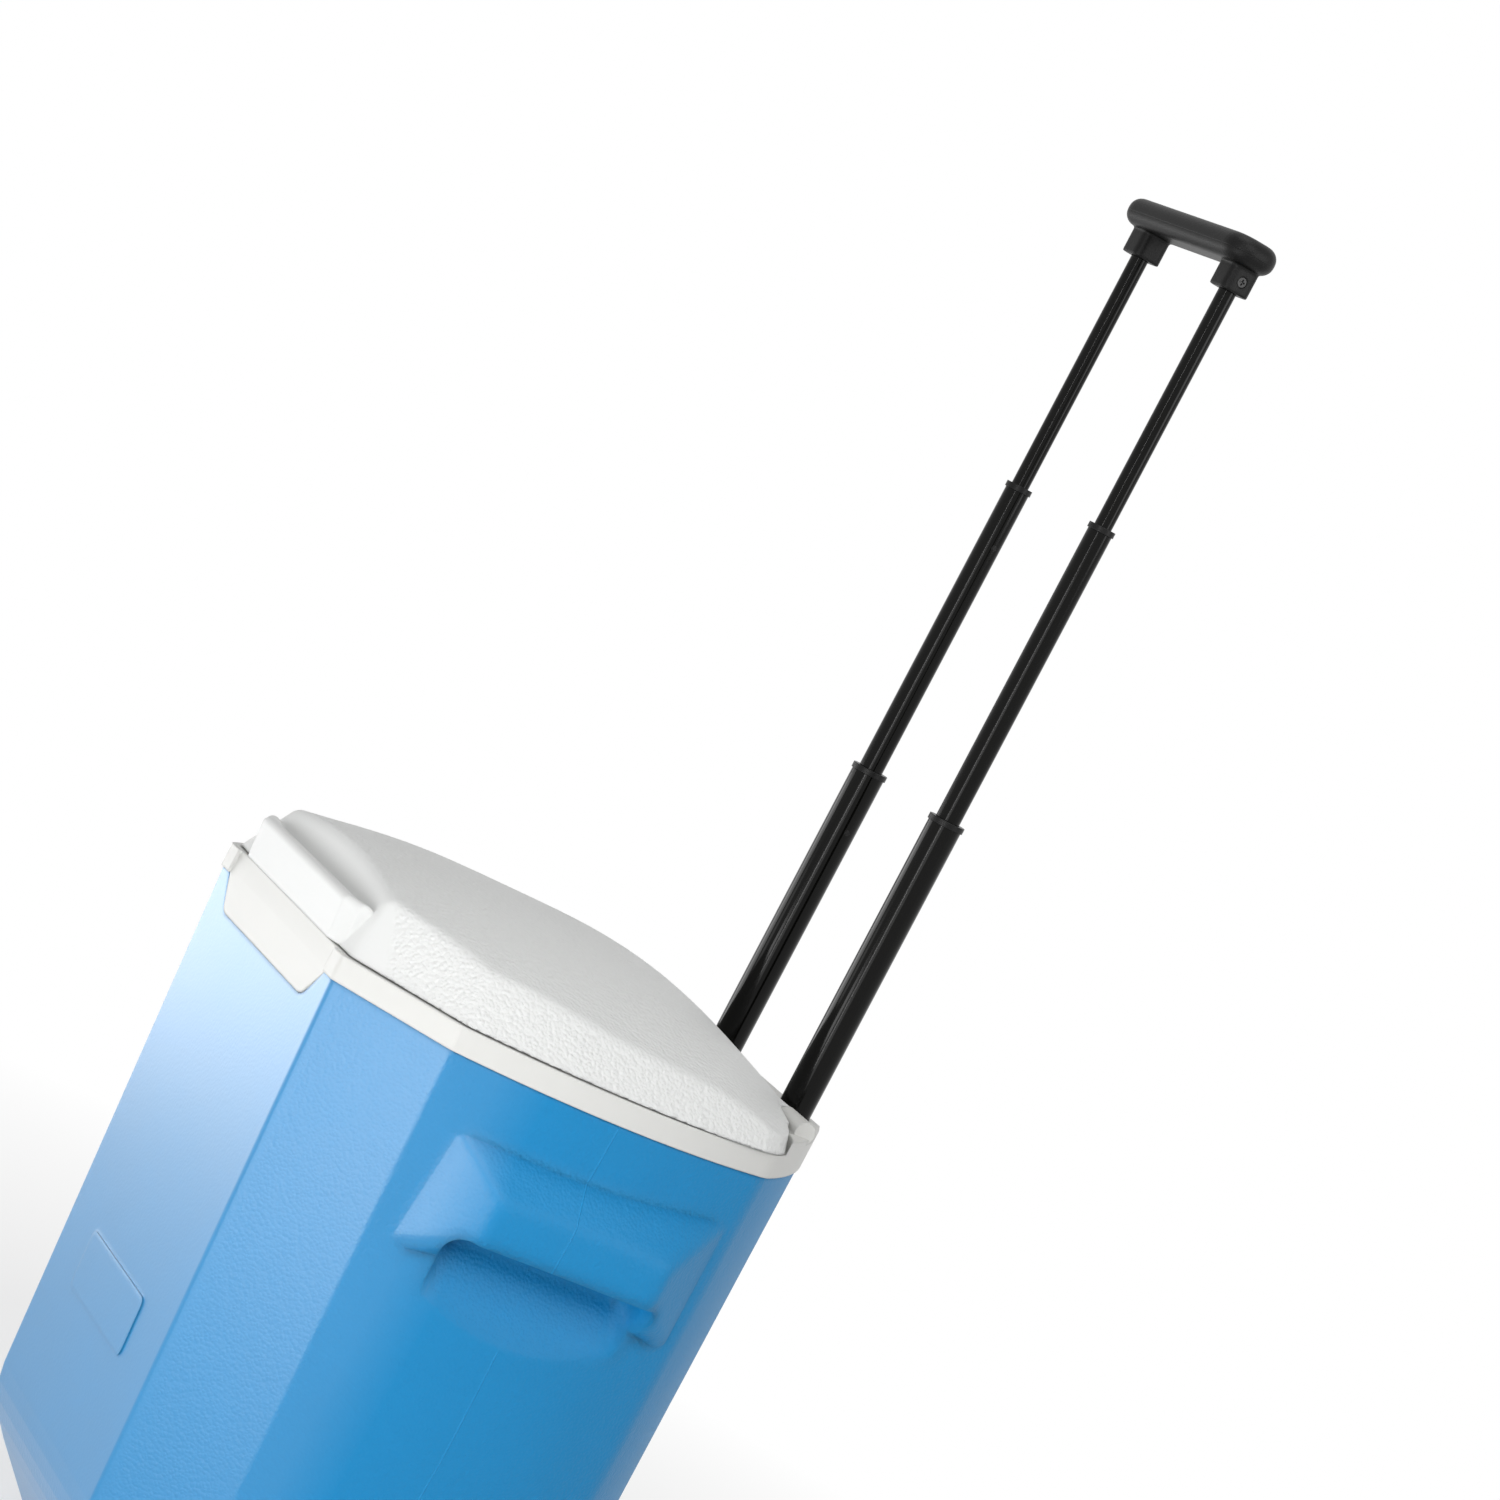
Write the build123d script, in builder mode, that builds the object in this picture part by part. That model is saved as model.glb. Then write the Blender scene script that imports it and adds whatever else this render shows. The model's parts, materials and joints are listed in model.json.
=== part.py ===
"""Wheeled cooler with a telescopic pull handle: outer shell, liner, lid, handle and wheels.

Frame: +Z up, the front faces -Y, the origin is on the ground in the middle of the part.
Rest pose: standing upright, lid shut, handle drawn out. Units are millimetres.
"""
import math
import os

from build123d import *

# Outline of the body at its top edge, half of it (the other half is its mirror image)
BODY_HALF_WIDTH = 150.3
FRONT_HALF_WIDTH = BODY_HALF_WIDTH - 64.3
SHOULDER_HALF_WIDTH = BODY_HALF_WIDTH - 15.3
SHOULDER_SETBACK = 46.5
SIDE_END_HALF_WIDTH = BODY_HALF_WIDTH - 18.0
SIDE_END_SETBACK = 65.2
CORNER_HALF_WIDTH = BODY_HALF_WIDTH - 54.3
CORNER_SETBACK = 30.2
BACK_HALF_WIDTH = BODY_HALF_WIDTH - 100.3
CORNER_ROUNDING = 4.0
SIDE_END_ROUNDING = 25.0
BODY_FRONT_Y = -159.5
BODY_BACK_Y = 135.2

# Heights above the ground
BASE_Z = 8.0
TUCK_Z = 62.0
BODY_TOP_Z = 355.6
SEAM_Z = 368.0

# Taper of the body and the tuck round its foot
FRONT_DRAFT = 0.0566
SIDE_DRAFT = 0.0287
TUCK_ROUNDING = 18.0
FRONT_TUCK = 44.0
SIDE_TUCK = 20.0
BACK_TUCK = 14.0

# Walls, foam and the clearances between pieces that touch
SHELL_WALL = 2.5
LINER_WALL = 2.5
LINER_INSET = 22.0
LINER_BACK_INSET = 32.8
LINER_FLOOR_Z = 40.0
FOAM_GAP = 0.3
SEAT_GAP = 0.3
CUT_OVERRUN = 10.0
RUNNING_GAP = 0.1
PRESS_GAP = 0.02
WELL_FOAM = 8.0

# Moulded grips on the two sides
GRIP_Y = -18.0
GRIP_RIDGE_Z = 280.0
GRIP_CREASE_Z = 304.0
GRIP_RIDGE_HALF_LENGTH = 49.0
GRIP_RIDGE_CROWN = 0.5
GRIP_PROJECTION = 13.0
GRIP_ROOT_DEPTH = 14.0
GRIP_ROOT_HALF_LENGTH = 81.4
GRIP_ROOT_BOTTOM_Z = 258.8
GRIP_ROOT_END_Z = 328.0
GRIP_ROOT_CROWN = 21.0
RECESS_DEPTH = 17.0
RECESS_REACH = 26.0
RECESS_FLOOR_HALF_LENGTH = 50.0
RECESS_MOUTH_HALF_LENGTH = 72.0
RECESS_FLOOR_BOTTOM_Z = 270.0
RECESS_MOUTH_BOTTOM_Z = 176.0
RECESS_HOOK = 6.0
RECESS_LIP = 2.0
GRIP_ROUNDING = 8.0
RECESS_ROUNDING = 6.0
RECESS_CORNER_ROUNDING = 12.0

# Bare panel on the front
PANEL_WIDTH = 88.0
PANEL_HEIGHT = 31.0
PANEL_Z = 155.0
PANEL_RELIEF = 0.8
PANEL_ROUNDING = 4.0

# White rim, its front tab and the ears behind the lid
RIM_OVERHANG = 1.2
RIM_WALL = 2.5
TAB_BOTTOM_Z = 338.6
TAB_BOTTOM_HALF_WIDTH = FRONT_HALF_WIDTH - 25.0
TAB_TOP_HALF_WIDTH = FRONT_HALF_WIDTH - 11.0
TAB_FOLD_Z = 357.5
TAB_FOLD_SETBACK = 1.1
TAB_THICKNESS = 2.2
TAB_RECESS = 0.2
TAB_ROUNDING = 9.0
TAB_GAP = 0.4
DECK_Z = 375.0
EAR_RADIUS = 6.0

# Lid
LID_GAP = 0.7
LID_SIDE_END_HALF_WIDTH = BODY_HALF_WIDTH - 9.3
LID_SIDE_END_Y = 58.0
LID_CORNER_HALF_WIDTH = BODY_HALF_WIDTH - 22.3
LID_CORNER_Y = 76.0
LID_REAR_HALF_WIDTH = BODY_HALF_WIDTH - 47.3
LID_REAR_Y = 87.5
LID_BACK_HALF_WIDTH = BODY_HALF_WIDTH - 60.3
LID_BACK_Y = 107.8
LID_SIDE_GAP = 1.0
LID_WALL = 2.5
LID_SLOPE_TOP_Z = 420.0
LID_SIDE_SLOPE = 45.0
LID_FRONT_SLOPE = 22.0
LID_FRONT_SETBACK = 3.0
LID_CROWN_DROP = 34.0
CROWN_STATIONS_Y = (-180.0, -150.0, -95.0, -40.0, 10.0, 50.0, 80.0, 99.0, 115.0)
CROWN_HEIGHTS_Z = (399.0, 405.0, 411.0, 412.0, 410.5, 404.5, 394.5, 387.0, 380.0)
LIP_HALF_WIDTH = FRONT_HALF_WIDTH - 24.0
LIP_END_TAPER = 9.0
LIP_FRONT_Y = -162.0
LIP_TOP_Z = 391.0
LIP_LEDGE = 5.0
LIP_ROOT = 9.0
LIP_BEVEL = 1.5
LIP_ROUNDING = 3.5
LIP_SIDE_HEIGHT = 4.0
CROWN_ROUNDING = 8.0
PLUG_GAP = 1.5
PLUG_DEPTH = 12.0
PAN_THICKNESS = 2.2

# Lid hinge
HINGE_Y = 99.0
HINGE_Z = 377.0
HINGE_PIN_RADIUS = 2.5
LID_ARM_HALF_WIDTH = LID_BACK_HALF_WIDTH - 13.5
HINGE_PIN_INNER_X = LID_ARM_HALF_WIDTH - 11.5
HINGE_PIN_OUTER_X = LID_ARM_HALF_WIDTH + 17.5
EAR_OUTER_X = HINGE_PIN_OUTER_X + 7.0
HINGE_BOSS_RADIUS = 5.5
HINGE_POCKET_GAP = 1.5
EAR_CLEARANCE = 1.5
EAR_SHELF = 2.0
LID_REAR_SHOULDER = 10.5

# Telescopic handle
HANDLE_Y = 122.0
TUBE_X = 45.0
LOWER_TUBE_RADIUS = 9.0
MIDDLE_TUBE_RADIUS = 6.5
UPPER_TUBE_RADIUS = 4.7
LOWER_TUBE_WALL = 1.0
MIDDLE_TUBE_WALL = 0.8
UPPER_TUBE_WALL = 0.8
LOWER_COLLAR_TOP_Z = 541.8
MIDDLE_COLLAR_TOP_Z = 707.3
GRIP_HOUSING_BOTTOM_Z = 839.0
TUBE_OVERLAP = 45.0
COLLAR_LIP = 0.7
COLLAR_HEIGHT = 3.0
COLLAR_INSERT = 42.0
PEG_DROP = 34.5
PEG_RADIUS = 1.5
SLIDE_BUSH_LENGTH = 5.2
STAGE_OVERLAP = 50.5
UPPER_TUBE_TOP_Z = GRIP_HOUSING_BOTTOM_Z + 13.0
GUIDE_WALL = 0.6
GUIDE_SLEEVE = 0.5
GUIDE_FLANGE = 5.0
GUIDE_FLANGE_RADIUS = 12.0
GUIDE_BOTTOM_Z = 154.0
BRACKET_BOTTOM_Z = GUIDE_BOTTOM_Z - 4.0
BRACKET_TOP_Z = GUIDE_BOTTOM_Z + 18.0
BRACKET_HALF_WIDTH = TUBE_X + 17.0
BRACKET_FRONT_Y = HANDLE_Y - 13.0
BRACKET_SCREW_X = (-28.0, 28.0)
BRACKET_SCREW_RADIUS = 2.0
BRACKET_SCREW_LENGTH = 16.0

# Pull grip
PULL_HALF_LENGTH = TUBE_X + 15.0
PULL_DEPTH = 32.0
PULL_HEIGHT = 18.0
PULL_CENTRE_Z = GRIP_HOUSING_BOTTOM_Z + 19.5
PULL_END_DEPTH = 24.0
PULL_END_HEIGHT = 12.0
HOUSING_WIDTH = 17.0
HOUSING_DEPTH = 22.0
HOUSING_SETBACK = 1.5
HOUSING_ROUNDING = 3.0
PULL_SCREW_Z = GRIP_HOUSING_BOTTOM_Z + 6.5
PULL_SCREW_RADIUS = 1.5
PULL_SCREW_HEAD_RADIUS = 2.6
PULL_SCREW_HEAD = 1.8
PULL_SCREW_PROUD = 0.3

# Wheels and axle
WHEEL_RADIUS = 55.0
WHEEL_WIDTH = 32.0
WHEEL_INNER_X = BODY_HALF_WIDTH - 58.3
WHEEL_Y = 107.0
WHEEL_TREAD_ROUNDING = 5.0
WHEEL_DISH_DEPTH = 9.0
WHEEL_RIM_WIDTH = 11.0
WHEEL_HUB_RADIUS = 12.0
WHEEL_SPOKES = 6
WHEEL_SPOKE_WIDTH = 8.0
WHEEL_SPOKE_PROUD = 5.0
WHEEL_HUB_PROUD = 7.0
WELL_GAP = 5.0
WELL_SIDE_GAP = 3.0
AXLE_RADIUS = 4.0
AXLE_OVERHANG = 5.0
AXLE_BOSS_RADIUS = 13.0
AXLE_BOSS_LENGTH = 24.0
AXLE_BUSH_RADIUS = 7.0
AXLE_BUSH_LENGTH = 14.0
WASHER_RADIUS = 9.0
CAP_RADIUS = 8.0
CAP_WALL = 1.5
CAP_ROUNDING = 1.2

# Front feet
FOOT_X = BODY_HALF_WIDTH - 72.3
FOOT_Y = -72.0
FOOT_RADIUS = 15.0
FOOT_RECESS_DEPTH = 3.0
FOOT_SCREW_RADIUS = 2.0
FOOT_SCREW_LENGTH = 9.0
FOOT_CHAMFER = 1.5
FOOT_BOSS_RADIUS = 6.0
FOOT_BOSS_HEIGHT = 12.0
SCREW_HEAD_RADIUS = 4.2
SCREW_HEAD_HEIGHT = 2.4

GRIP_WALL_X = BODY_HALF_WIDTH - SIDE_DRAFT * (BODY_TOP_Z - GRIP_RIDGE_Z)
LINER_TOP_Z = SEAM_Z - RIM_WALL
LID_BOTTOM_Z = SEAM_Z + LID_GAP
PAN_TOP_Z = LID_BOTTOM_Z + PAN_THICKNESS
SIDES = (("left", -1), ("right", 1))
PARTS = "parts"


def axis_across(x, y, z):
    """Plane whose normal runs along X, for pieces that lie across the body."""
    return Plane(origin=(x, y, z), x_dir=(0, 1, 0), z_dir=(1, 0, 0))


def axis_back(x, y, z):
    """Plane whose normal runs along Y, for pieces that point backwards."""
    return Plane(origin=(x, y, z), x_dir=(-1, 0, 0), z_dir=(0, 1, 0))


def ring(x, y, bottom_z, top_z, outer_radius, inner_radius):
    """Upright tube or disc with a bore."""
    with BuildPart() as body:
        with BuildSketch(Plane.XY.offset(bottom_z)):
            with Locations((x, y)):
                Circle(outer_radius)
                Circle(inner_radius, mode=Mode.SUBTRACT)
        extrude(amount=top_z - bottom_z)
    return body.part


def rod(x, y, bottom_z, top_z, radius):
    """Upright solid rod."""
    with BuildPart() as body:
        with BuildSketch(Plane.XY.offset(bottom_z)):
            with Locations((x, y)):
                Circle(radius)
        extrude(amount=top_z - bottom_z)
    return body.part


def cross_rod(start_x, end_x, y, z, radius, inner_radius=0.0):
    """Rod along X, or a tube if it has an inner radius."""
    with BuildPart() as body:
        with BuildSketch(axis_across(start_x, y, z)):
            Circle(radius)
            if inner_radius > 0:
                Circle(inner_radius, mode=Mode.SUBTRACT)
        extrude(amount=end_x - start_x)
    return body.part


def block(min_corner, max_corner):
    """Box between two corners."""
    size = [high - low for low, high in zip(min_corner, max_corner)]
    middle = [(high + low) / 2 for low, high in zip(min_corner, max_corner)]
    with BuildPart() as body:
        with Locations(tuple(middle)):
            Box(*size)
    return body.part


def soften(plan, corners, radius):
    """Round the corners of a plan nearest to the given points and to their mirror images."""
    for x, y in corners:
        for _, side in SIDES:
            fillet(plan.vertices().sort_by_distance((side * x, y, 0))[0], radius)


def body_outline(z, side_inset, front_inset, back_inset):
    """Plan of the body at one height: flat front, chamfers, bowed sides and rounded back."""
    depth = BODY_BACK_Y - BODY_FRONT_Y
    across = (BODY_HALF_WIDTH - side_inset) / BODY_HALF_WIDTH
    along = (depth - front_inset - back_inset) / depth
    front = BODY_FRONT_Y + front_inset

    def place(x, setback):
        return (x * across, front + setback * along)

    half = [
        place(FRONT_HALF_WIDTH, 0),
        place(SHOULDER_HALF_WIDTH, SHOULDER_SETBACK),
        place(BODY_HALF_WIDTH, (SHOULDER_SETBACK + depth - SIDE_END_SETBACK) / 2),
        place(SIDE_END_HALF_WIDTH, depth - SIDE_END_SETBACK),
        place(CORNER_HALF_WIDTH, depth - CORNER_SETBACK),
        place(BACK_HALF_WIDTH, depth),
    ]
    other = [(-x, y) for x, y in half]
    with BuildSketch(Plane.XY.offset(z)) as plan:
        with BuildLine():
            Line(other[0], half[0])
            Line(half[0], half[1])
            ThreePointArc(half[1], half[2], half[3])
            ThreePointArc(half[3], half[4], half[5])
            Line(half[5], other[5])
            ThreePointArc(other[5], other[4], other[3])
            ThreePointArc(other[3], other[2], other[1])
            Line(other[1], other[0])
        make_face()
        soften(plan, half[:2], CORNER_ROUNDING)
        soften(plan, half[3:4], SIDE_END_ROUNDING)
    return plan.sketch


def tuck_share(z):
    """How far the foot has tucked in at a height, from 0 above the tuck to 1 at the base."""
    reach = TUCK_Z - BASE_Z
    below = TUCK_Z + TUCK_ROUNDING - z
    if below <= 0:
        return 0.0
    if below < 2 * TUCK_ROUNDING:
        return below ** 2 / (4 * TUCK_ROUNDING) / reach
    return (TUCK_Z - z) / reach


def body_form(inset, back_inset, floor_z, top_z):
    """Body filled solid, drawn in from its outer face by an inset."""
    step = TUCK_ROUNDING / 2
    bends = [TUCK_Z + step * count for count in range(-2, 3)]
    levels = [floor_z] + [z for z in bends if floor_z + 1 < z < BODY_TOP_Z] + [BODY_TOP_Z]
    if top_z > BODY_TOP_Z + 1:
        levels.append(top_z)
    sections = []
    for z in levels:
        fall = max(BODY_TOP_Z - z, 0.0)
        share = tuck_share(z)
        sections.append(body_outline(
            z,
            inset + SIDE_DRAFT * fall + SIDE_TUCK * share,
            inset + FRONT_DRAFT * fall + FRONT_TUCK * share,
            back_inset + BACK_TUCK * share,
        ))
    with BuildPart() as body:
        loft(sections, ruled=True)
    return body.part


def wheel_wells(margin):
    """Space that the two wheels turn in, grown by a margin."""
    reach = BODY_HALF_WIDTH + CUT_OVERRUN
    with BuildPart() as wells:
        for _, side in SIDES:
            inner = side * (WHEEL_INNER_X - WELL_SIDE_GAP - margin)
            with BuildSketch(axis_across(inner, WHEEL_Y, WHEEL_RADIUS)):
                Circle(WHEEL_RADIUS + WELL_GAP + margin)
            extrude(amount=side * reach)
    return wells.part


def grip_section(x, half, low, high, crown):
    """Upright slice through a side grip or its recess: straight foot and ends, bowed top."""
    with BuildSketch(axis_across(x, GRIP_Y, 0)) as section:
        with BuildLine():
            Line((-half, low), (half, low))
            Line((half, low), (half, high))
            ThreePointArc((half, high), (0, high + crown), (-half, high))
            Line((-half, high), (-half, low))
        make_face()
    return section.sketch


def finger_recesses(margin):
    """Finger space under each side grip, grown by a margin."""
    with BuildPart() as recesses:
        for _, side in SIDES:
            floor = grip_section(
                side * (GRIP_WALL_X - RECESS_DEPTH - margin), RECESS_FLOOR_HALF_LENGTH + margin,
                RECESS_FLOOR_BOTTOM_Z - margin, GRIP_RIDGE_Z + RECESS_HOOK + margin, GRIP_RIDGE_CROWN,
            )
            mouth = grip_section(
                side * (GRIP_WALL_X + RECESS_REACH), RECESS_MOUTH_HALF_LENGTH + margin,
                RECESS_MOUTH_BOTTOM_Z - margin, GRIP_RIDGE_Z - RECESS_LIP + margin, GRIP_RIDGE_CROWN,
            )
            loft([floor, mouth], ruled=True)
        reach = GRIP_WALL_X + CUT_OVERRUN
        corners = recesses.edges().filter_by(
            lambda edge: abs(edge.center().X) < reach and edge.center().Z > GRIP_RIDGE_Z
            and edge.length < RECESS_DEPTH + 2 * RECESS_REACH)
        fillet(corners.filter_by(lambda edge: abs(edge.center().X) > GRIP_WALL_X), RECESS_CORNER_ROUNDING)
        inner = recesses.edges().filter_by(
            lambda edge: abs(edge.center().X) < reach and edge.center().Z < GRIP_RIDGE_Z)
        fillet(inner, RECESS_ROUNDING)
    return recesses.part


def grip_wedges():
    """Wedge of each side grip: a domed, sloped top, a straight ridge and two slanted ends."""
    with BuildPart() as wedges:
        for _, side in SIDES:
            root = grip_section(
                side * (GRIP_WALL_X - GRIP_ROOT_DEPTH), GRIP_ROOT_HALF_LENGTH, GRIP_ROOT_BOTTOM_Z,
                GRIP_ROOT_END_Z, GRIP_ROOT_CROWN,
            )
            ridge = grip_section(
                side * (GRIP_WALL_X + GRIP_PROJECTION), GRIP_RIDGE_HALF_LENGTH, GRIP_RIDGE_Z,
                GRIP_CREASE_Z, GRIP_RIDGE_CROWN,
            )
            loft([root, ridge], ruled=True)
        outer = wedges.edges().filter_by(lambda edge: abs(edge.center().X) > GRIP_WALL_X - GRIP_ROUNDING)
        fillet(outer, GRIP_ROUNDING)
    return wedges.part


def tab_prism(margin, front_y, back_y):
    """Front tab of the rim as a prism, grown by a margin at its sides and bottom."""
    with BuildPart() as prism:
        with BuildSketch(Plane(origin=(0, front_y, 0), x_dir=(1, 0, 0), z_dir=(0, -1, 0))) as tab:
            with BuildLine():
                Polyline(
                    (-TAB_BOTTOM_HALF_WIDTH - margin, TAB_BOTTOM_Z - margin),
                    (TAB_BOTTOM_HALF_WIDTH + margin, TAB_BOTTOM_Z - margin),
                    (TAB_TOP_HALF_WIDTH + margin, BODY_TOP_Z),
                    (TAB_TOP_HALF_WIDTH + margin, LINER_TOP_Z),
                    (-TAB_TOP_HALF_WIDTH - margin, LINER_TOP_Z),
                    (-TAB_TOP_HALF_WIDTH - margin, BODY_TOP_Z),
                    close=True,
                )
            make_face()
            fillet(tab.vertices().sort_by(Axis.Y)[:2], TAB_ROUNDING + margin)
        extrude(amount=front_y - back_y)
    return prism.part


def tab_scoop():
    """Space in front of the tab: its face is flush with the body up to a fold and leans back above it."""
    face_y = BODY_FRONT_Y + TAB_RECESS
    front_y = BODY_FRONT_Y - CUT_OVERRUN
    with BuildPart() as scoop:
        with BuildSketch(axis_across(-TAB_TOP_HALF_WIDTH, 0, 0)):
            with BuildLine():
                Polyline(
                    (front_y, BODY_TOP_Z - CUT_OVERRUN),
                    (face_y, BODY_TOP_Z - CUT_OVERRUN),
                    (face_y, TAB_FOLD_Z),
                    (face_y + TAB_FOLD_SETBACK, SEAM_Z),
                    (face_y + TAB_FOLD_SETBACK, SEAM_Z + CUT_OVERRUN),
                    (front_y, SEAM_Z + CUT_OVERRUN),
                    close=True,
                )
            make_face()
        extrude(amount=2 * TAB_TOP_HALF_WIDTH)
    return scoop.part


def lid_outline(z, side_inset, front_inset, back_inset):
    """Plan of the lid at one height: the body's outline with a rounded rear."""
    across = (BODY_HALF_WIDTH - side_inset) / BODY_HALF_WIDTH
    depth = LID_BACK_Y - BODY_FRONT_Y
    along = (depth - front_inset - back_inset) / depth
    front = BODY_FRONT_Y + front_inset

    def place(x, y):
        return (x * across, front + (y - BODY_FRONT_Y) * along)

    half = [
        place(FRONT_HALF_WIDTH, BODY_FRONT_Y),
        place(SHOULDER_HALF_WIDTH, BODY_FRONT_Y + SHOULDER_SETBACK),
        place(BODY_HALF_WIDTH, (BODY_FRONT_Y + SHOULDER_SETBACK + BODY_BACK_Y - SIDE_END_SETBACK) / 2),
        place(LID_SIDE_END_HALF_WIDTH, LID_SIDE_END_Y),
        place(LID_CORNER_HALF_WIDTH, LID_CORNER_Y),
        place(LID_REAR_HALF_WIDTH, LID_REAR_Y),
        place(LID_BACK_HALF_WIDTH, LID_BACK_Y),
    ]
    other = [(-x, y) for x, y in half]
    with BuildSketch(Plane.XY.offset(z)) as plan:
        with BuildLine():
            Line(other[0], half[0])
            Line(half[0], half[1])
            ThreePointArc(half[1], half[2], half[3])
            ThreePointArc(half[3], half[4], half[5])
            Line(half[5], half[6])
            Line(half[6], other[6])
            Line(other[6], other[5])
            ThreePointArc(other[5], other[4], other[3])
            ThreePointArc(other[3], other[2], other[1])
            Line(other[1], other[0])
        make_face()
    return plan.sketch


def ear_notches(margin):
    """Space at the lid's rear corners that the rim's ears stand in, grown by a margin."""
    inner_x = LID_ARM_HALF_WIDTH - margin
    front_y = HINGE_Y - EAR_RADIUS - EAR_CLEARANCE - margin
    with BuildPart() as notches:
        for _, side in SIDES:
            outer_x = side * BODY_HALF_WIDTH
            low = (min(side * inner_x, outer_x), front_y, BODY_TOP_Z - CUT_OVERRUN)
            high = (max(side * inner_x, outer_x), BODY_BACK_Y + CUT_OVERRUN, LID_SLOPE_TOP_Z + CUT_OVERRUN)
            add(block(low, high))
    return notches.part


def crown_form(margin):
    """Dome of the lid, filled down to the seam: one arch at each station along Y."""
    reach = BODY_HALF_WIDTH + CUT_OVERRUN
    floor_z = BODY_TOP_Z - 2 * CUT_OVERRUN
    arches = []
    for y, top in zip(CROWN_STATIONS_Y, CROWN_HEIGHTS_Z):
        with BuildSketch(Plane(origin=(0, y, 0), x_dir=(-1, 0, 0), z_dir=(0, 1, 0))) as arch:
            with BuildLine():
                side_z = top - LID_CROWN_DROP - margin
                Line((-reach, floor_z), (reach, floor_z))
                Line((reach, floor_z), (reach, side_z))
                ThreePointArc((reach, side_z), (0, top - margin), (-reach, side_z))
                Line((-reach, side_z), (-reach, floor_z))
            make_face()
        arches.append(arch.sketch)
    with BuildPart() as crown:
        loft(arches)
    return crown.part


def lid_form(margin, bottom_z):
    """Lid filled solid above a height, drawn in from its outer face by a margin."""
    seam = lid_outline(LID_BOTTOM_Z, margin, margin + LID_FRONT_SETBACK, margin)
    top = lid_outline(LID_SLOPE_TOP_Z, margin + LID_SIDE_SLOPE, margin + LID_FRONT_SLOPE, margin)
    rear = HINGE_Z - SEAM_Z - LID_GAP - margin
    shoulder = LID_REAR_SHOULDER - margin
    diagonal = math.sqrt(0.5)
    low = bottom_z - HINGE_Z
    high = LID_SLOPE_TOP_Z - HINGE_Z
    front = LIP_FRONT_Y - HINGE_Y - 10
    with BuildPart() as form:
        loft([seam, top], ruled=True)
        add(crown_form(margin), mode=Mode.INTERSECT)
        with BuildSketch(axis_across(-BODY_HALF_WIDTH - 5, HINGE_Y, HINGE_Z)) as side:
            with BuildLine():
                if low < -rear - 0.01:
                    Line((0, low), (0, -rear))
                if low < -rear + 0.01:
                    ThreePointArc((0, -rear), (rear * diagonal, -rear * diagonal), (rear, 0))
                    Line((front, low), (0, low))
                else:
                    start = math.sqrt(rear ** 2 - low ** 2)
                    middle = math.atan2(low, start) / 2
                    ThreePointArc((start, low), (rear * math.cos(middle), rear * math.sin(middle)),
                                  (rear, 0))
                    Line((front, low), (start, low))
                ThreePointArc((rear, 0), (rear * diagonal, shoulder * diagonal), (0, shoulder))
                Line((0, shoulder), (0, high))
                Line((0, high), (front, high))
                Line((front, high), (front, low))
            make_face()
        extrude(side.sketch, amount=2 * BODY_HALF_WIDTH + 10, mode=Mode.INTERSECT)
        add(ear_notches(margin), mode=Mode.SUBTRACT)
    return form.part


def outline_prism(outline, bottom_z, top_z, side_inset, front_inset, back_inset):
    """Straight prism of a plan between two heights."""
    with BuildPart() as prism:
        extrude(outline(bottom_z, side_inset, front_inset, back_inset), amount=top_z - bottom_z)
    return prism.part


def mouth_prism(bottom_z, top_z, margin):
    """Mouth of the cooler as a prism, drawn in by a margin; shelves under the ears close its corners."""
    inset = LINER_INSET + LINER_WALL + margin
    with BuildPart() as mouth:
        add(outline_prism(body_outline, bottom_z, top_z, inset, inset,
                          LINER_BACK_INSET + LINER_WALL + margin))
        add(ear_notches(EAR_SHELF + margin), mode=Mode.SUBTRACT)
    return mouth.part


os.makedirs(PARTS, exist_ok=True)

finished = []


def finish(name, part):
    """Label a piece and write its file."""
    part.label = name
    export_step(part, f"{PARTS}/{name}.step")
    finished.append(name)


# Outer shell with its side grips, finger recesses, wheel wells, axle bosses and foot bosses
BOSS_INNER_X = WHEEL_INNER_X - WELL_SIDE_GAP - AXLE_BOSS_LENGTH
WELL_WALL_X = WHEEL_INNER_X - WELL_SIDE_GAP
GUIDE_RADIUS = LOWER_TUBE_RADIUS + RUNNING_GAP + GUIDE_SLEEVE + PRESS_GAP + GUIDE_WALL
BRACKET_Z = (BRACKET_BOTTOM_Z + BRACKET_TOP_Z) / 2


def shell_bosses(margin):
    """Solid bosses inside the shell that hold the axle bushes and the foot screws."""
    with BuildPart() as bosses:
        for _, side in SIDES:
            add(cross_rod(side * (BOSS_INNER_X - margin), side * (WELL_WALL_X + SHELL_WALL), WHEEL_Y,
                          WHEEL_RADIUS, AXLE_BOSS_RADIUS + margin))
            add(rod(side * FOOT_X, FOOT_Y, BASE_Z, BASE_Z + FOOT_BOSS_HEIGHT + margin,
                    FOOT_BOSS_RADIUS + margin))
    return bosses.part


with BuildPart() as shell_void:
    add(body_form(SHELL_WALL, SHELL_WALL, BASE_Z + SHELL_WALL, SEAM_Z))
    add(finger_recesses(SHELL_WALL), mode=Mode.SUBTRACT)
    add(wheel_wells(SHELL_WALL), mode=Mode.SUBTRACT)
    add(shell_bosses(0), mode=Mode.SUBTRACT)

PANEL_Y = BODY_FRONT_Y + FRONT_DRAFT * (BODY_TOP_Z - PANEL_Z)
FRONT_LEAN = math.atan(FRONT_DRAFT)
panel_plane = Plane(
    origin=(0, PANEL_Y, PANEL_Z),
    x_dir=(1, 0, 0),
    z_dir=(0, -math.cos(FRONT_LEAN), -math.sin(FRONT_LEAN)),
)

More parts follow.
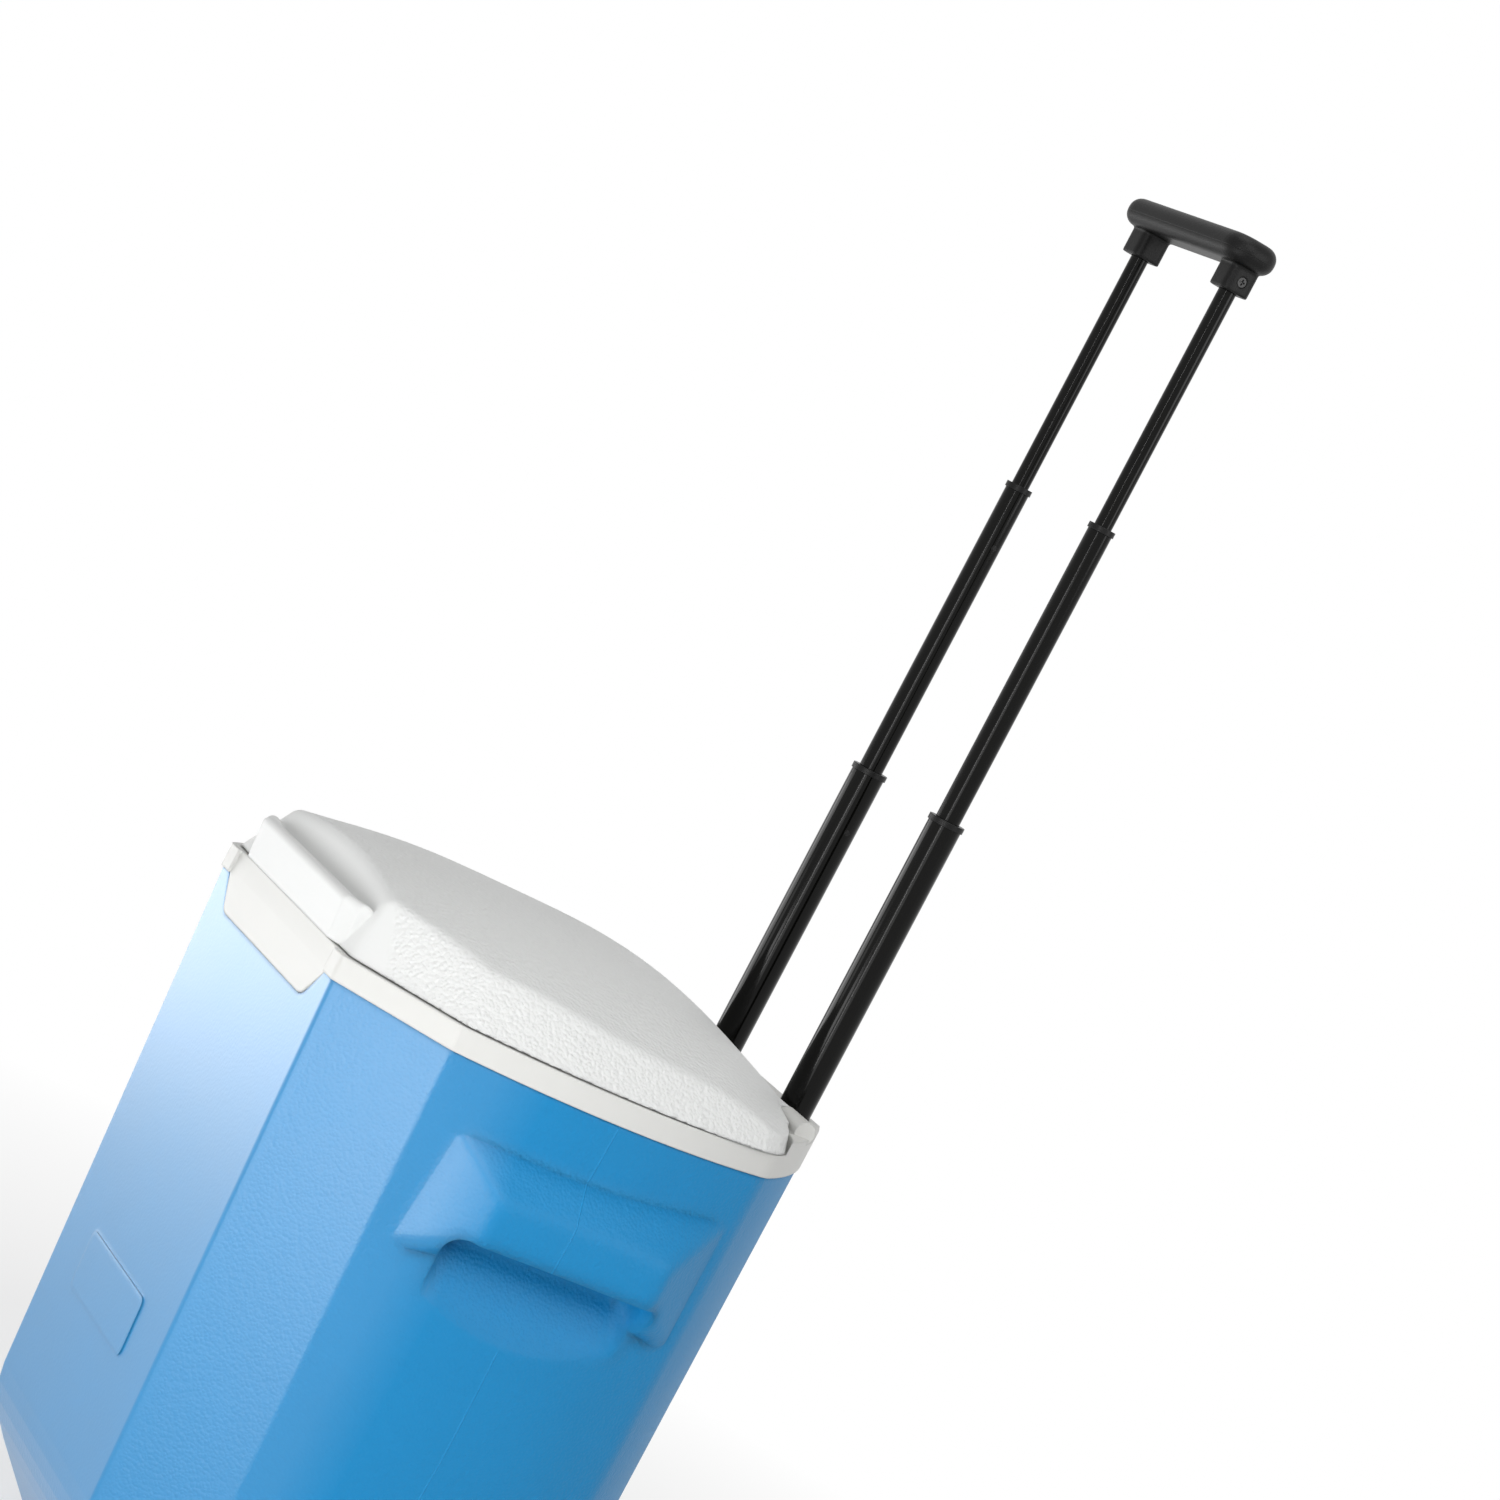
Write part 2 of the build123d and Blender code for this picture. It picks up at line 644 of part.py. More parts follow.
with BuildPart() as outer_shell:
    add(body_form(0, 0, BASE_Z, BODY_TOP_Z))
    add(grip_wedges())
    add(finger_recesses(0), mode=Mode.SUBTRACT)
    for _, side in SIDES:
        add(cross_rod(side * BOSS_INNER_X, side * WELL_WALL_X, WHEEL_Y, WHEEL_RADIUS, AXLE_BOSS_RADIUS))
    add(wheel_wells(0), mode=Mode.SUBTRACT)
    with BuildSketch(panel_plane.offset(-SHELL_WALL / 2)):
        RectangleRounded(PANEL_WIDTH, PANEL_HEIGHT, PANEL_ROUNDING)
    extrude(amount=SHELL_WALL / 2 + PANEL_RELIEF)
    add(shell_void.part, mode=Mode.SUBTRACT)
    add(tab_prism(TAB_GAP, BODY_FRONT_Y - CUT_OVERRUN, BODY_FRONT_Y + CUT_OVERRUN), mode=Mode.SUBTRACT)
    add(cross_rod(-WELL_WALL_X - 5, WELL_WALL_X + 5, WHEEL_Y, WHEEL_RADIUS, AXLE_RADIUS + PRESS_GAP),
        mode=Mode.SUBTRACT)
    for _, side in SIDES:
        add(cross_rod(side * (WELL_WALL_X - AXLE_BUSH_LENGTH), side * (WELL_WALL_X + 5), WHEEL_Y,
                      WHEEL_RADIUS, AXLE_BUSH_RADIUS + PRESS_GAP), mode=Mode.SUBTRACT)
        add(rod(side * FOOT_X, FOOT_Y, BASE_Z - 1, BASE_Z + FOOT_SCREW_LENGTH, FOOT_SCREW_RADIUS
                + PRESS_GAP), mode=Mode.SUBTRACT)
    for x in BRACKET_SCREW_X:
        with BuildSketch(axis_back(x, BODY_BACK_Y - SHELL_WALL - 2, BRACKET_Z)):
            Circle(BRACKET_SCREW_RADIUS + PRESS_GAP)
        extrude(amount=SHELL_WALL + 4, mode=Mode.SUBTRACT)
finish("outer_shell", outer_shell.part)

# Inner liner: the tub that holds the food
with BuildPart() as inner_liner:
    add(body_form(LINER_INSET, LINER_BACK_INSET, LINER_FLOOR_Z, LINER_TOP_Z))
    add(wheel_wells(SHELL_WALL + WELL_FOAM), mode=Mode.SUBTRACT)
    with BuildPart(mode=Mode.PRIVATE) as tub_space:
        add(body_form(LINER_INSET + LINER_WALL, LINER_BACK_INSET + LINER_WALL,
                      LINER_FLOOR_Z + LINER_WALL, LINER_TOP_Z + 2))
        add(wheel_wells(SHELL_WALL + WELL_FOAM + LINER_WALL), mode=Mode.SUBTRACT)
    add(tub_space.part, mode=Mode.SUBTRACT)
finish("inner_liner", inner_liner.part)

# Bracket that holds the lower ends of the two guide tubes against the back wall
with BuildPart() as guide_bracket:
    add(block((-BRACKET_HALF_WIDTH, BRACKET_FRONT_Y, BRACKET_BOTTOM_Z),
              (BRACKET_HALF_WIDTH, BODY_BACK_Y, BRACKET_TOP_Z)))
    add(body_form(SHELL_WALL + SEAT_GAP, SHELL_WALL + SEAT_GAP, BRACKET_BOTTOM_Z - 20, BODY_TOP_Z),
        mode=Mode.INTERSECT)
    for _, side in SIDES:
        add(rod(side * TUBE_X, HANDLE_Y, GUIDE_BOTTOM_Z, BRACKET_TOP_Z + 1, GUIDE_RADIUS + PRESS_GAP),
            mode=Mode.SUBTRACT)
    for x in BRACKET_SCREW_X:
        with BuildSketch(axis_back(x, BODY_BACK_Y - BRACKET_SCREW_LENGTH, BRACKET_Z)):
            Circle(BRACKET_SCREW_RADIUS + PRESS_GAP)
        extrude(amount=BRACKET_SCREW_LENGTH, mode=Mode.SUBTRACT)
finish("guide_bracket", guide_bracket.part)

# Foam between the shell and the liner
with BuildPart() as body_insulation:
    wall = SHELL_WALL + FOAM_GAP
    add(body_form(wall, wall, BASE_Z + wall, LINER_TOP_Z - FOAM_GAP))
    add(finger_recesses(wall), mode=Mode.SUBTRACT)
    add(wheel_wells(wall), mode=Mode.SUBTRACT)
    with BuildPart(mode=Mode.PRIVATE) as liner_space:
        add(body_form(LINER_INSET - FOAM_GAP, LINER_BACK_INSET - FOAM_GAP, LINER_FLOOR_Z - FOAM_GAP,
                      LINER_TOP_Z + 2))
        add(wheel_wells(SHELL_WALL + WELL_FOAM - FOAM_GAP), mode=Mode.SUBTRACT)
    add(liner_space.part, mode=Mode.SUBTRACT)
    add(shell_bosses(FOAM_GAP), mode=Mode.SUBTRACT)
    add(tab_prism(TAB_GAP + FOAM_GAP, BODY_FRONT_Y - CUT_OVERRUN, BODY_FRONT_Y + TAB_RECESS
                  + TAB_THICKNESS + FOAM_GAP), mode=Mode.SUBTRACT)
    add(cross_rod(-WELL_WALL_X, WELL_WALL_X, WHEEL_Y, WHEEL_RADIUS, AXLE_RADIUS + FOAM_GAP),
        mode=Mode.SUBTRACT)
    add(block((-BRACKET_HALF_WIDTH - FOAM_GAP, BRACKET_FRONT_Y - FOAM_GAP, BRACKET_BOTTOM_Z - FOAM_GAP),
              (BRACKET_HALF_WIDTH + FOAM_GAP, BODY_BACK_Y, BRACKET_TOP_Z + FOAM_GAP)),
        mode=Mode.SUBTRACT)
    add(block((-TUBE_X - GUIDE_RADIUS - FOAM_GAP, HANDLE_Y - GUIDE_RADIUS - FOAM_GAP, BRACKET_TOP_Z),
              (-TUBE_X + GUIDE_RADIUS + FOAM_GAP, BODY_BACK_Y, SEAM_Z)), mode=Mode.SUBTRACT)
    add(block((TUBE_X - GUIDE_RADIUS - FOAM_GAP, HANDLE_Y - GUIDE_RADIUS - FOAM_GAP, BRACKET_TOP_Z),
              (TUBE_X + GUIDE_RADIUS + FOAM_GAP, BODY_BACK_Y, SEAM_Z)), mode=Mode.SUBTRACT)
finish("body_insulation", body_insulation.part)

# White rim with its front tab, the deck behind the lid and the two hinge ears
with BuildPart() as rim_collar:
    add(outline_prism(body_outline, BODY_TOP_Z, SEAM_Z, -RIM_OVERHANG, -RIM_OVERHANG, -RIM_OVERHANG))
    with BuildPart(mode=Mode.PRIVATE) as deck:
        add(outline_prism(body_outline, SEAM_Z, DECK_Z, -RIM_OVERHANG, -RIM_OVERHANG, -RIM_OVERHANG))
        with BuildPart(mode=Mode.PRIVATE) as lid_space:
            add(outline_prism(lid_outline, SEAM_Z - 1, DECK_Z + 1, -LID_SIDE_GAP, -LID_SIDE_GAP,
                              -LID_SIDE_GAP))
            add(ear_notches(-LID_SIDE_GAP), mode=Mode.SUBTRACT)
        add(lid_space.part, mode=Mode.SUBTRACT)
        add(block((-BODY_HALF_WIDTH - 5, BODY_FRONT_Y - 20, SEAM_Z - 1),
                  (BODY_HALF_WIDTH + 5, LID_SIDE_END_Y, DECK_Z + 1)), mode=Mode.SUBTRACT)
    add(deck.part)
    for _, side in SIDES:
        add(cross_rod(side * (LID_ARM_HALF_WIDTH + LID_SIDE_GAP), side * EAR_OUTER_X, HINGE_Y, HINGE_Z,
                      EAR_RADIUS))
    add(outline_prism(body_outline, BODY_TOP_Z, LINER_TOP_Z, RIM_WALL - RIM_OVERHANG,
                      RIM_WALL - RIM_OVERHANG, RIM_WALL - RIM_OVERHANG), mode=Mode.SUBTRACT)
    add(mouth_prism(BODY_TOP_Z, SEAM_Z + 1, 0), mode=Mode.SUBTRACT)
    add(tab_prism(0, BODY_FRONT_Y + TAB_RECESS, BODY_FRONT_Y + TAB_RECESS + TAB_THICKNESS))
    add(tab_scoop(), mode=Mode.SUBTRACT)
    for _, side in SIDES:
        add(rod(side * TUBE_X, HANDLE_Y, LINER_TOP_Z - 1, DECK_Z + 1, LOWER_TUBE_RADIUS + SEAT_GAP),
            mode=Mode.SUBTRACT)
        add(rod(side * TUBE_X, HANDLE_Y, LINER_TOP_Z - 1, LINER_TOP_Z + GUIDE_FLANGE + PRESS_GAP,
                GUIDE_FLANGE_RADIUS + RUNNING_GAP), mode=Mode.SUBTRACT)
        add(cross_rod(side * HINGE_PIN_INNER_X, side * (HINGE_PIN_OUTER_X + PRESS_GAP), HINGE_Y, HINGE_Z,
                      HINGE_PIN_RADIUS + PRESS_GAP), mode=Mode.SUBTRACT)
finish("rim_collar", rim_collar.part)

# Lid: outer shell with its lifting lip, foam and the pan that plugs the mouth
with BuildPart() as lid_top:
    add(lid_form(0, LID_BOTTOM_Z))
    rear_y = HINGE_Y - HINGE_BOSS_RADIUS - CROWN_ROUNDING
    brow = lid_top.edges().filter_by(
        lambda edge: edge.center().Z > HINGE_Z + HINGE_BOSS_RADIUS and edge.center().Y < rear_y
        and edge.length > LID_REAR_SHOULDER)
    fillet(brow, CROWN_ROUNDING)
    lip_faces = []
    for x, back_off in ((-LIP_HALF_WIDTH - LIP_END_TAPER, 1), (-LIP_HALF_WIDTH, 0), (LIP_HALF_WIDTH, 0),
                        (LIP_HALF_WIDTH + LIP_END_TAPER, 1)):
        front = LIP_FRONT_Y + back_off * LIP_LEDGE
        with BuildSketch(axis_across(x, 0, 0)) as lip_face:
            with BuildLine():
                root = front + LIP_LEDGE + LIP_ROOT
                round_z = LIP_TOP_Z - LIP_ROUNDING
                turn = LIP_ROUNDING * (1 - math.sqrt(0.5))
                Line((root, LID_BOTTOM_Z), (front + LIP_BEVEL, LID_BOTTOM_Z))
                Line((front + LIP_BEVEL, LID_BOTTOM_Z), (front, round_z))
                ThreePointArc((front, round_z), (front + turn, LIP_TOP_Z - turn),
                              (front + LIP_ROUNDING, LIP_TOP_Z))
                Line((front + LIP_ROUNDING, LIP_TOP_Z), (front + LIP_LEDGE, LIP_TOP_Z))
                Line((front + LIP_LEDGE, LIP_TOP_Z), (root, LIP_TOP_Z - LIP_SIDE_HEIGHT))
                Line((root, LIP_TOP_Z - LIP_SIDE_HEIGHT), (root, LID_BOTTOM_Z))
            make_face()
        lip_faces.append(lip_face.sketch)
    loft(lip_faces, ruled=True)
    add(lid_form(LID_WALL, LID_BOTTOM_Z), mode=Mode.SUBTRACT)
    for _, side in SIDES:
        inner_x = HINGE_PIN_INNER_X - LID_WALL
        add(cross_rod(side * inner_x, side * (LID_ARM_HALF_WIDTH - 1), HINGE_Y, HINGE_Z,
                      HINGE_BOSS_RADIUS))
        add(cross_rod(side * (inner_x - 1), side * (LID_ARM_HALF_WIDTH + 1), HINGE_Y, HINGE_Z,
                      HINGE_PIN_RADIUS + RUNNING_GAP), mode=Mode.SUBTRACT)
finish("lid_top", lid_top.part)

PLUG_BOTTOM_Z = SEAM_Z - PLUG_DEPTH

with BuildPart() as lid_pan:
    add(lid_form(LID_WALL + PRESS_GAP, LID_BOTTOM_Z))
    add(block((-BODY_HALF_WIDTH, BODY_FRONT_Y, LID_BOTTOM_Z), (BODY_HALF_WIDTH, BODY_BACK_Y, PAN_TOP_Z)),
        mode=Mode.INTERSECT)
    add(mouth_prism(PLUG_BOTTOM_Z, LID_BOTTOM_Z, PLUG_GAP))
    add(mouth_prism(PLUG_BOTTOM_Z + PAN_THICKNESS, PAN_TOP_Z + 1, PLUG_GAP + PAN_THICKNESS),
        mode=Mode.SUBTRACT)
finish("lid_pan", lid_pan.part)

with BuildPart() as lid_insulation:
    add(lid_form(LID_WALL + FOAM_GAP, PAN_TOP_Z + FOAM_GAP))
    add(mouth_prism(PLUG_BOTTOM_Z + PAN_THICKNESS + FOAM_GAP, PAN_TOP_Z + 1,
                    PLUG_GAP + PAN_THICKNESS + FOAM_GAP))
    for _, side in SIDES:
        add(cross_rod(side * (HINGE_PIN_INNER_X - LID_WALL - 1), side * (LID_ARM_HALF_WIDTH + 1), HINGE_Y,
                      HINGE_Z, HINGE_BOSS_RADIUS + HINGE_POCKET_GAP), mode=Mode.SUBTRACT)
finish("lid_insulation", lid_insulation.part)

for name, side in SIDES:
    finish(f"hinge_pin_{name}", cross_rod(side * HINGE_PIN_INNER_X, side * HINGE_PIN_OUTER_X, HINGE_Y,
                                          HINGE_Z, HINGE_PIN_RADIUS))

# Fixed guides that the lowest tubes slide in
SLEEVE_RADIUS = LOWER_TUBE_RADIUS + RUNNING_GAP + GUIDE_SLEEVE
LOWER_TUBE_BOTTOM_Z = DECK_Z - TUBE_OVERLAP
SLEEVE_BOTTOM_Z = LOWER_TUBE_BOTTOM_Z + SLIDE_BUSH_LENGTH + SEAT_GAP

for name, side in SIDES:
    finish(f"guide_tube_{name}", ring(side * TUBE_X, HANDLE_Y, GUIDE_BOTTOM_Z, LINER_TOP_Z,
                                      GUIDE_RADIUS, GUIDE_RADIUS - GUIDE_WALL))
    with BuildPart() as guide_sleeve:
        add(ring(side * TUBE_X, HANDLE_Y, SLEEVE_BOTTOM_Z, LINER_TOP_Z + 1, SLEEVE_RADIUS,
                 LOWER_TUBE_RADIUS + RUNNING_GAP))
        add(ring(side * TUBE_X, HANDLE_Y, LINER_TOP_Z, LINER_TOP_Z + GUIDE_FLANGE, GUIDE_FLANGE_RADIUS,
                 LOWER_TUBE_RADIUS + RUNNING_GAP))
    finish(f"guide_sleeve_{name}", guide_sleeve.part)

# Telescopic tubes: each has a bush on its foot and, but for the last, a collar pegged into its top
INSERT_BOTTOM = COLLAR_INSERT + COLLAR_HEIGHT
stages = (
    ("lower", LOWER_TUBE_RADIUS, LOWER_TUBE_WALL, LOWER_TUBE_BOTTOM_Z, LOWER_COLLAR_TOP_Z,
     SLEEVE_RADIUS - RUNNING_GAP, MIDDLE_TUBE_RADIUS),
    ("middle", MIDDLE_TUBE_RADIUS, MIDDLE_TUBE_WALL, LOWER_COLLAR_TOP_Z - STAGE_OVERLAP,
     MIDDLE_COLLAR_TOP_Z, LOWER_TUBE_RADIUS - LOWER_TUBE_WALL - RUNNING_GAP, UPPER_TUBE_RADIUS),
    ("upper", UPPER_TUBE_RADIUS, UPPER_TUBE_WALL, MIDDLE_COLLAR_TOP_Z - STAGE_OVERLAP,
     UPPER_TUBE_TOP_Z, MIDDLE_TUBE_RADIUS - MIDDLE_TUBE_WALL - RUNNING_GAP, None),
)
for stage, radius, wall, bottom_z, top_z, bush_radius, next_radius in stages:
    tube_top = top_z - COLLAR_HEIGHT if next_radius else top_z
    peg_z = top_z - PEG_DROP
    for name, side in SIDES:
        centre_x = side * TUBE_X
        peg_start = centre_x - side * (radius - wall - PRESS_GAP)
        with BuildPart() as tube:
            add(ring(centre_x, HANDLE_Y, bottom_z, tube_top, radius, radius - wall))
            if next_radius:
                add(cross_rod(peg_start + side, centre_x - side * (radius + 2), HANDLE_Y, peg_z,
                              PEG_RADIUS + PRESS_GAP), mode=Mode.SUBTRACT)
            else:
                add(cross_rod(centre_x + side * (radius - wall - 1), centre_x + side * (radius + 2),
                              HANDLE_Y, PULL_SCREW_Z, PULL_SCREW_RADIUS + PRESS_GAP), mode=Mode.SUBTRACT)
        finish(f"{stage}_tube_{name}", tube.part)
        finish(f"{stage}_bush_{name}", ring(centre_x, HANDLE_Y, bottom_z, bottom_z + SLIDE_BUSH_LENGTH,
                                            bush_radius, radius + PRESS_GAP))
        if next_radius:
            bore = next_radius + RUNNING_GAP
            with BuildPart() as collar:
                add(ring(centre_x, HANDLE_Y, top_z - INSERT_BOTTOM, tube_top + 1,
                         radius - wall - PRESS_GAP, bore))
                add(ring(centre_x, HANDLE_Y, tube_top, top_z, radius + COLLAR_LIP, bore))
                with BuildPart(mode=Mode.PRIVATE) as peg:
                    add(cross_rod(peg_start + side * PRESS_GAP, centre_x - side * (radius + COLLAR_LIP),
                                  HANDLE_Y, peg_z, PEG_RADIUS))
                    add(rod(centre_x, HANDLE_Y, bottom_z, top_z, radius), mode=Mode.INTERSECT)
                add(peg.part)
            finish(f"{stage}_collar_{name}", collar.part)

# Pull grip: an upper and a lower half, with a housing round each upper tube
stations = (-PULL_HALF_LENGTH, -TUBE_X + 5, 0, TUBE_X - 5, PULL_HALF_LENGTH)
pull_faces = []
for x in stations:
    at_end = abs(x) == PULL_HALF_LENGTH
    depth = PULL_END_DEPTH if at_end else PULL_DEPTH
    height = PULL_END_HEIGHT if at_end else PULL_HEIGHT
    with BuildSketch(axis_across(x, HANDLE_Y, PULL_CENTRE_Z)) as pull_face:
        Ellipse(depth / 2, height / 2)
    pull_faces.append(pull_face.sketch)
with BuildPart() as pull_form:
    loft(pull_faces)

with BuildPart() as pull_top:
    add(pull_form.part)
    add(block((-PULL_HALF_LENGTH - 5, HANDLE_Y - PULL_DEPTH, PULL_CENTRE_Z - PULL_HEIGHT),
              (PULL_HALF_LENGTH + 5, HANDLE_Y + PULL_DEPTH, PULL_CENTRE_Z)), mode=Mode.SUBTRACT)
finish("pull_top", pull_top.part)

with BuildPart() as pull_base:
    add(pull_form.part)
    add(block((-PULL_HALF_LENGTH - 5, HANDLE_Y - PULL_DEPTH, PULL_CENTRE_Z),
              (PULL_HALF_LENGTH + 5, HANDLE_Y + PULL_DEPTH, PULL_CENTRE_Z + PULL_HEIGHT)),
        mode=Mode.SUBTRACT)
    for _, side in SIDES:
        with BuildSketch(Plane.XY.offset(GRIP_HOUSING_BOTTOM_Z)):
            with Locations((side * TUBE_X, HANDLE_Y + HOUSING_SETBACK)):
                RectangleRounded(HOUSING_WIDTH, HOUSING_DEPTH, HOUSING_ROUNDING)
        extrude(amount=PULL_CENTRE_Z - GRIP_HOUSING_BOTTOM_Z - 1)
    for _, side in SIDES:
        add(rod(side * TUBE_X, HANDLE_Y, GRIP_HOUSING_BOTTOM_Z - 1, UPPER_TUBE_TOP_Z + PRESS_GAP,
                UPPER_TUBE_RADIUS + PRESS_GAP), mode=Mode.SUBTRACT)
        face_x = side * (TUBE_X + HOUSING_WIDTH / 2)
        add(cross_rod(side * (TUBE_X + UPPER_TUBE_RADIUS - UPPER_TUBE_WALL), face_x + side, HANDLE_Y,
                      PULL_SCREW_Z, PULL_SCREW_RADIUS + PRESS_GAP), mode=Mode.SUBTRACT)
        add(cross_rod(face_x - side * PULL_SCREW_HEAD, face_x + side, HANDLE_Y, PULL_SCREW_Z,
                      PULL_SCREW_HEAD_RADIUS + PRESS_GAP), mode=Mode.SUBTRACT)
finish("pull_base", pull_base.part)


def cross_drive(plane, width, depth):
    """Cross-shaped recess cut into a screw head."""
    with BuildPart() as drive:
        with BuildSketch(plane):
            Rectangle(width, width / 4)
            Rectangle(width / 4, width)
        extrude(amount=-depth)
    return drive.part


with BuildPart() as pull_screws:
    for _, side in SIDES:
        face_x = side * (TUBE_X + HOUSING_WIDTH / 2 - PULL_SCREW_PROUD)
        shank_x = side * (TUBE_X + UPPER_TUBE_RADIUS - UPPER_TUBE_WALL)
        add(cross_rod(shank_x, face_x, HANDLE_Y, PULL_SCREW_Z, PULL_SCREW_RADIUS))
        add(cross_rod(side * (TUBE_X + HOUSING_WIDTH / 2 - PULL_SCREW_HEAD + PRESS_GAP), face_x, HANDLE_Y,
                      PULL_SCREW_Z, PULL_SCREW_HEAD_RADIUS))
        head = Plane(origin=(face_x, HANDLE_Y, PULL_SCREW_Z), x_dir=(0, 1, 0), z_dir=(side, 0, 0))
        add(cross_drive(head, PULL_SCREW_HEAD_RADIUS * 1.2, PULL_SCREW_HEAD / 2), mode=Mode.SUBTRACT)
finish("pull_screws", pull_screws.part)

with BuildPart() as bracket_screws:
    for x in BRACKET_SCREW_X:
        with BuildSketch(axis_back(x, BODY_BACK_Y - BRACKET_SCREW_LENGTH + 1, BRACKET_Z)):
            Circle(BRACKET_SCREW_RADIUS)
        extrude(amount=BRACKET_SCREW_LENGTH)
        with BuildSketch(axis_back(x, BODY_BACK_Y, BRACKET_Z)):
            Circle(SCREW_HEAD_RADIUS)
        extrude(amount=SCREW_HEAD_HEIGHT)
        head = axis_back(x, BODY_BACK_Y + SCREW_HEAD_HEIGHT, BRACKET_Z)
        add(cross_drive(head, SCREW_HEAD_RADIUS * 1.2, SCREW_HEAD_HEIGHT / 2), mode=Mode.SUBTRACT)
finish("bracket_screws", bracket_screws.part)

# Axle, its bushes, and a wheel, a washer and a push-on cap at each end
WHEEL_OUTER_X = WHEEL_INNER_X + WHEEL_WIDTH
AXLE_END_X = WHEEL_OUTER_X + AXLE_OVERHANG
finish("axle", cross_rod(-AXLE_END_X, AXLE_END_X, WHEEL_Y, WHEEL_RADIUS, AXLE_RADIUS))

for name, side in SIDES:
    finish(f"axle_bush_{name}", cross_rod(side * (WELL_WALL_X - AXLE_BUSH_LENGTH + PRESS_GAP),
                                          side * WELL_WALL_X, WHEEL_Y, WHEEL_RADIUS, AXLE_BUSH_RADIUS,
                                          AXLE_RADIUS + PRESS_GAP))
    finish(f"axle_washer_{name}", cross_rod(side * (WELL_WALL_X + SEAT_GAP / 2),
                                            side * (WHEEL_INNER_X - SEAT_GAP), WHEEL_Y, WHEEL_RADIUS,
                                            WASHER_RADIUS, AXLE_RADIUS + PRESS_GAP))
    with BuildPart() as axle_cap:
        cap_start = side * (WHEEL_OUTER_X - WHEEL_DISH_DEPTH + WHEEL_HUB_PROUD + SEAT_GAP)
        add(cross_rod(cap_start, side * (AXLE_END_X + CAP_WALL), WHEEL_Y, WHEEL_RADIUS, CAP_RADIUS))
        fillet(axle_cap.edges().group_by(Axis.X)[-1 if side > 0 else 0], CAP_ROUNDING)
        add(cross_rod(cap_start - side, side * (AXLE_END_X + PRESS_GAP), WHEEL_Y, WHEEL_RADIUS,
                      AXLE_RADIUS + PRESS_GAP), mode=Mode.SUBTRACT)
    finish(f"axle_cap_{name}", axle_cap.part)

    with BuildPart() as wheel:
        add(cross_rod(side * WHEEL_INNER_X, side * WHEEL_OUTER_X, WHEEL_Y, WHEEL_RADIUS, WHEEL_RADIUS))
        fillet(wheel.edges(), WHEEL_TREAD_ROUNDING)
        dish_radius = WHEEL_RADIUS - WHEEL_RIM_WIDTH
        dish_x = side * (WHEEL_OUTER_X - WHEEL_DISH_DEPTH)
        back_x = side * (WHEEL_INNER_X + WHEEL_DISH_DEPTH)
        add(cross_rod(dish_x, side * (WHEEL_OUTER_X + 1), WHEEL_Y, WHEEL_RADIUS, dish_radius),
            mode=Mode.SUBTRACT)
        add(cross_rod(side * (WHEEL_INNER_X - 1), back_x, WHEEL_Y, WHEEL_RADIUS, dish_radius,
                      WHEEL_HUB_RADIUS), mode=Mode.SUBTRACT)
        with BuildSketch(axis_across(dish_x, WHEEL_Y, WHEEL_RADIUS)):
            with PolarLocations((WHEEL_HUB_RADIUS + dish_radius) / 2, WHEEL_SPOKES):
                Rectangle(dish_radius - WHEEL_HUB_RADIUS + 6, WHEEL_SPOKE_WIDTH)
        extrude(amount=side * WHEEL_SPOKE_PROUD)
        add(cross_rod(dish_x, dish_x + side * WHEEL_HUB_PROUD, WHEEL_Y, WHEEL_RADIUS, WHEEL_HUB_RADIUS))
        add(cross_rod(side * (WHEEL_INNER_X - 1), side * (WHEEL_OUTER_X + 1), WHEEL_Y, WHEEL_RADIUS,
                      AXLE_RADIUS + RUNNING_GAP), mode=Mode.SUBTRACT)
    finish(f"wheel_{name}", wheel.part)

# Front feet and their screws
for name, side in SIDES:
    with BuildPart() as foot:
        add(rod(side * FOOT_X, FOOT_Y, 0, BASE_Z, FOOT_RADIUS))
        chamfer(foot.edges().group_by(Axis.Z)[0], FOOT_CHAMFER)
        add(rod(side * FOOT_X, FOOT_Y, -1, FOOT_RECESS_DEPTH, SCREW_HEAD_RADIUS + SEAT_GAP),
            mode=Mode.SUBTRACT)
        add(rod(side * FOOT_X, FOOT_Y, -1, BASE_Z + 1, FOOT_SCREW_RADIUS + PRESS_GAP), mode=Mode.SUBTRACT)
    finish(f"front_foot_{name}", foot.part)

with BuildPart() as foot_screws:
    for _, side in SIDES:
        add(rod(side * FOOT_X, FOOT_Y, FOOT_RECESS_DEPTH - SCREW_HEAD_HEIGHT, FOOT_RECESS_DEPTH,
                SCREW_HEAD_RADIUS))
        add(rod(side * FOOT_X, FOOT_Y, FOOT_RECESS_DEPTH - 1, BASE_Z + FOOT_SCREW_LENGTH,
                FOOT_SCREW_RADIUS))
finish("foot_screws", foot_screws.part)

print(len(finished), "pieces written")
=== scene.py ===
"""Looks of the wheeled cooler: pull grip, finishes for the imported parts, studio and camera."""
from __future__ import annotations

import json
import logging
import math
from dataclasses import dataclass, field
from enum import Enum
from typing import Callable, ClassVar

import bmesh
import bpy
from mathutils import Matrix, Vector

